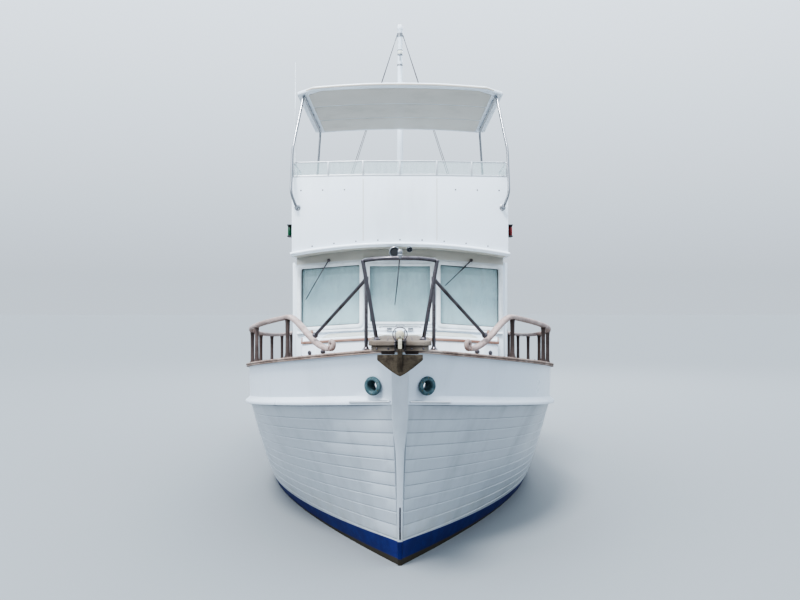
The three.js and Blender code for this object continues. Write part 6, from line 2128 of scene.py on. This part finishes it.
def sternPieces():
    front = transom["y"] + transom["rake"] * 0.295 + 0.001
    aft = front + 0.54
    boards = Shape()
    boards.prism([(-1.42, front), (1.42, front), (1.42, front + 0.066), (-1.42, front + 0.066)], "z", 0.252,
        0.295, 0.006)
    boards.prism([(-1.42, front + 0.42), (1.42, front + 0.42), (1.42, front + 0.43), (1.3, aft), (-1.3, aft),
        (-1.42, front + 0.43)], "z", 0.252, 0.295, 0.008, 3)
    for s in (1, -1):
        boards.block((min(s * 1.334, s * 1.42), front + 0.068, 0.252), (max(s * 1.334, s * 1.42), front + 0.418,
            0.295), 0.006)
    for y in (0.115, 0.335):
        boards.block((-1.33, front + y, 0.2505), (1.33, front + y + 0.045, 0.264), 0.003)
    boards.piece("platformBoards", "plankTeak", instead=("swim_platform",))
    slats("platformSlats", [(-1.302 + 0.062 * k, front + 0.07, 0.2798) for k in range(43)], 0.346, 0.05, 0.03,
        "plankTeak")
    metal = Shape()
    for x in (-0.9, 0.0, 0.9):
        metal.prism([(front - 0.018, 0.2495), (front + 0.42, 0.2495), (front + 0.42, 0.225),
            (front - 0.02, 0.025)], "x", x - 0.012, x + 0.012, 0.004)
        metal.block((x - 0.045, front - 0.03, 0.0), (x + 0.045, front - 0.013, 0.2485), 0.004)
    footY, headY, headZ = transom["y"] + 0.26, transom["y"] + 0.248, 1.5
    for x in (-0.72, -0.32):
        metal.tube([(x, footY, 0.2962), (x, headY, headZ), (x, headY - 0.03, 1.9)], 0.0158, 16, 0.05)
        flange(metal, (x, footY, 0.2952), (0, 0, 1))
        wall = transom["y"] + transom["rake"] * headZ + 0.002
        metal.tube([(x, headY - 0.012, headZ), (x, wall, headZ)], 0.012, 14, domed=False)
        flange(metal, (x, wall, headZ), (0, 1, 0), 12)
    for share in (0.25, 0.5, 0.75, 1.0):
        y, z = footY + (headY - footY) * share, 0.2954 + (headZ - 0.2954) * share
        metal.tube([(-0.72, y, z), (-0.32, y, z)], 0.0135, 14, domed=False)
    wall = transom["y"] + transom["rake"] * 0.42
    metal.turned([(62, 1), (62, 10), (50, 16), (48, 50), (42, 50), (41, -60)], (0.62, wall, 0.42), 30,
        (0, 1, 0.0))
    metal.piece("sternMetal", "stainless", instead=("transom_ladder",), angle=45)


def runningGear():
    easedNode("rudder", "rudderBlade", "hull", "rudder", width=0.006, slot="bronze")
    tilt, origin = radians(6), Vector((0, 4.23, -0.74))
    stand = Matrix.Translation(origin) @ Matrix.Rotation(-tilt, 4, "X")
    gear = Shape()
    rows = ((0.03, 0.048, 55), (0.075, 0.072, 46), (0.12, 0.092, 38), (0.165, 0.1, 32), (0.205, 0.096, 28),
        (0.235, 0.082, 26), (0.255, 0.062, 25), (0.266, 0.04, 24), (0.27, 0.016, 24))
    for k in range(3):
        loops = []
        for out, half, pitch in rows:
            turn = Matrix.Rotation(radians(pitch), 4, "Z")
            thick = 0.0065 * (1.15 - out * 3)
            loops.append([turn @ Vector((half * cos(a), thick * sin(a), out)) for a in turnsOf(16)])
        blade = Shape()
        blade.loft(loops)
        gear.take(blade, stand @ Matrix.Rotation(radians(120 * k), 4, "Y"))
    boss = Shape()
    boss.turned([(19, -900), (19, -70), (40, -65), (46, -55), (44, 0), (36, 60), (30, 65), (28, 80), (22, 105),
        (8, 125)], (0, 0, 0), 30, (0, 1, 0))
    gear.take(boss, stand)
    gear.piece("propellerBlades", "rawBronze", "propeller", instead=("propeller",), angle=40)


fittingPieces()
sternPieces()
runningGear()
print("deck and stern fittings made")

floor = bpy.data.meshes.new("floor")
floor.from_pydata([(-240, -240, 0), (240, -240, 0), (240, 240, 0), (-240, 240, 0)], [], [(0, 1, 2, 3)])
ground = linked("floor", floor)
paint = bpy.data.materials.new("floor")
paint.use_nodes = True
for key, value in (("Base Color", light["floor"]), ("Roughness", 0.8), ("Specular IOR Level", 0.1)):
    paint.node_tree.nodes["Principled BSDF"].inputs[key].default_value = value
floor.materials.append(paint)
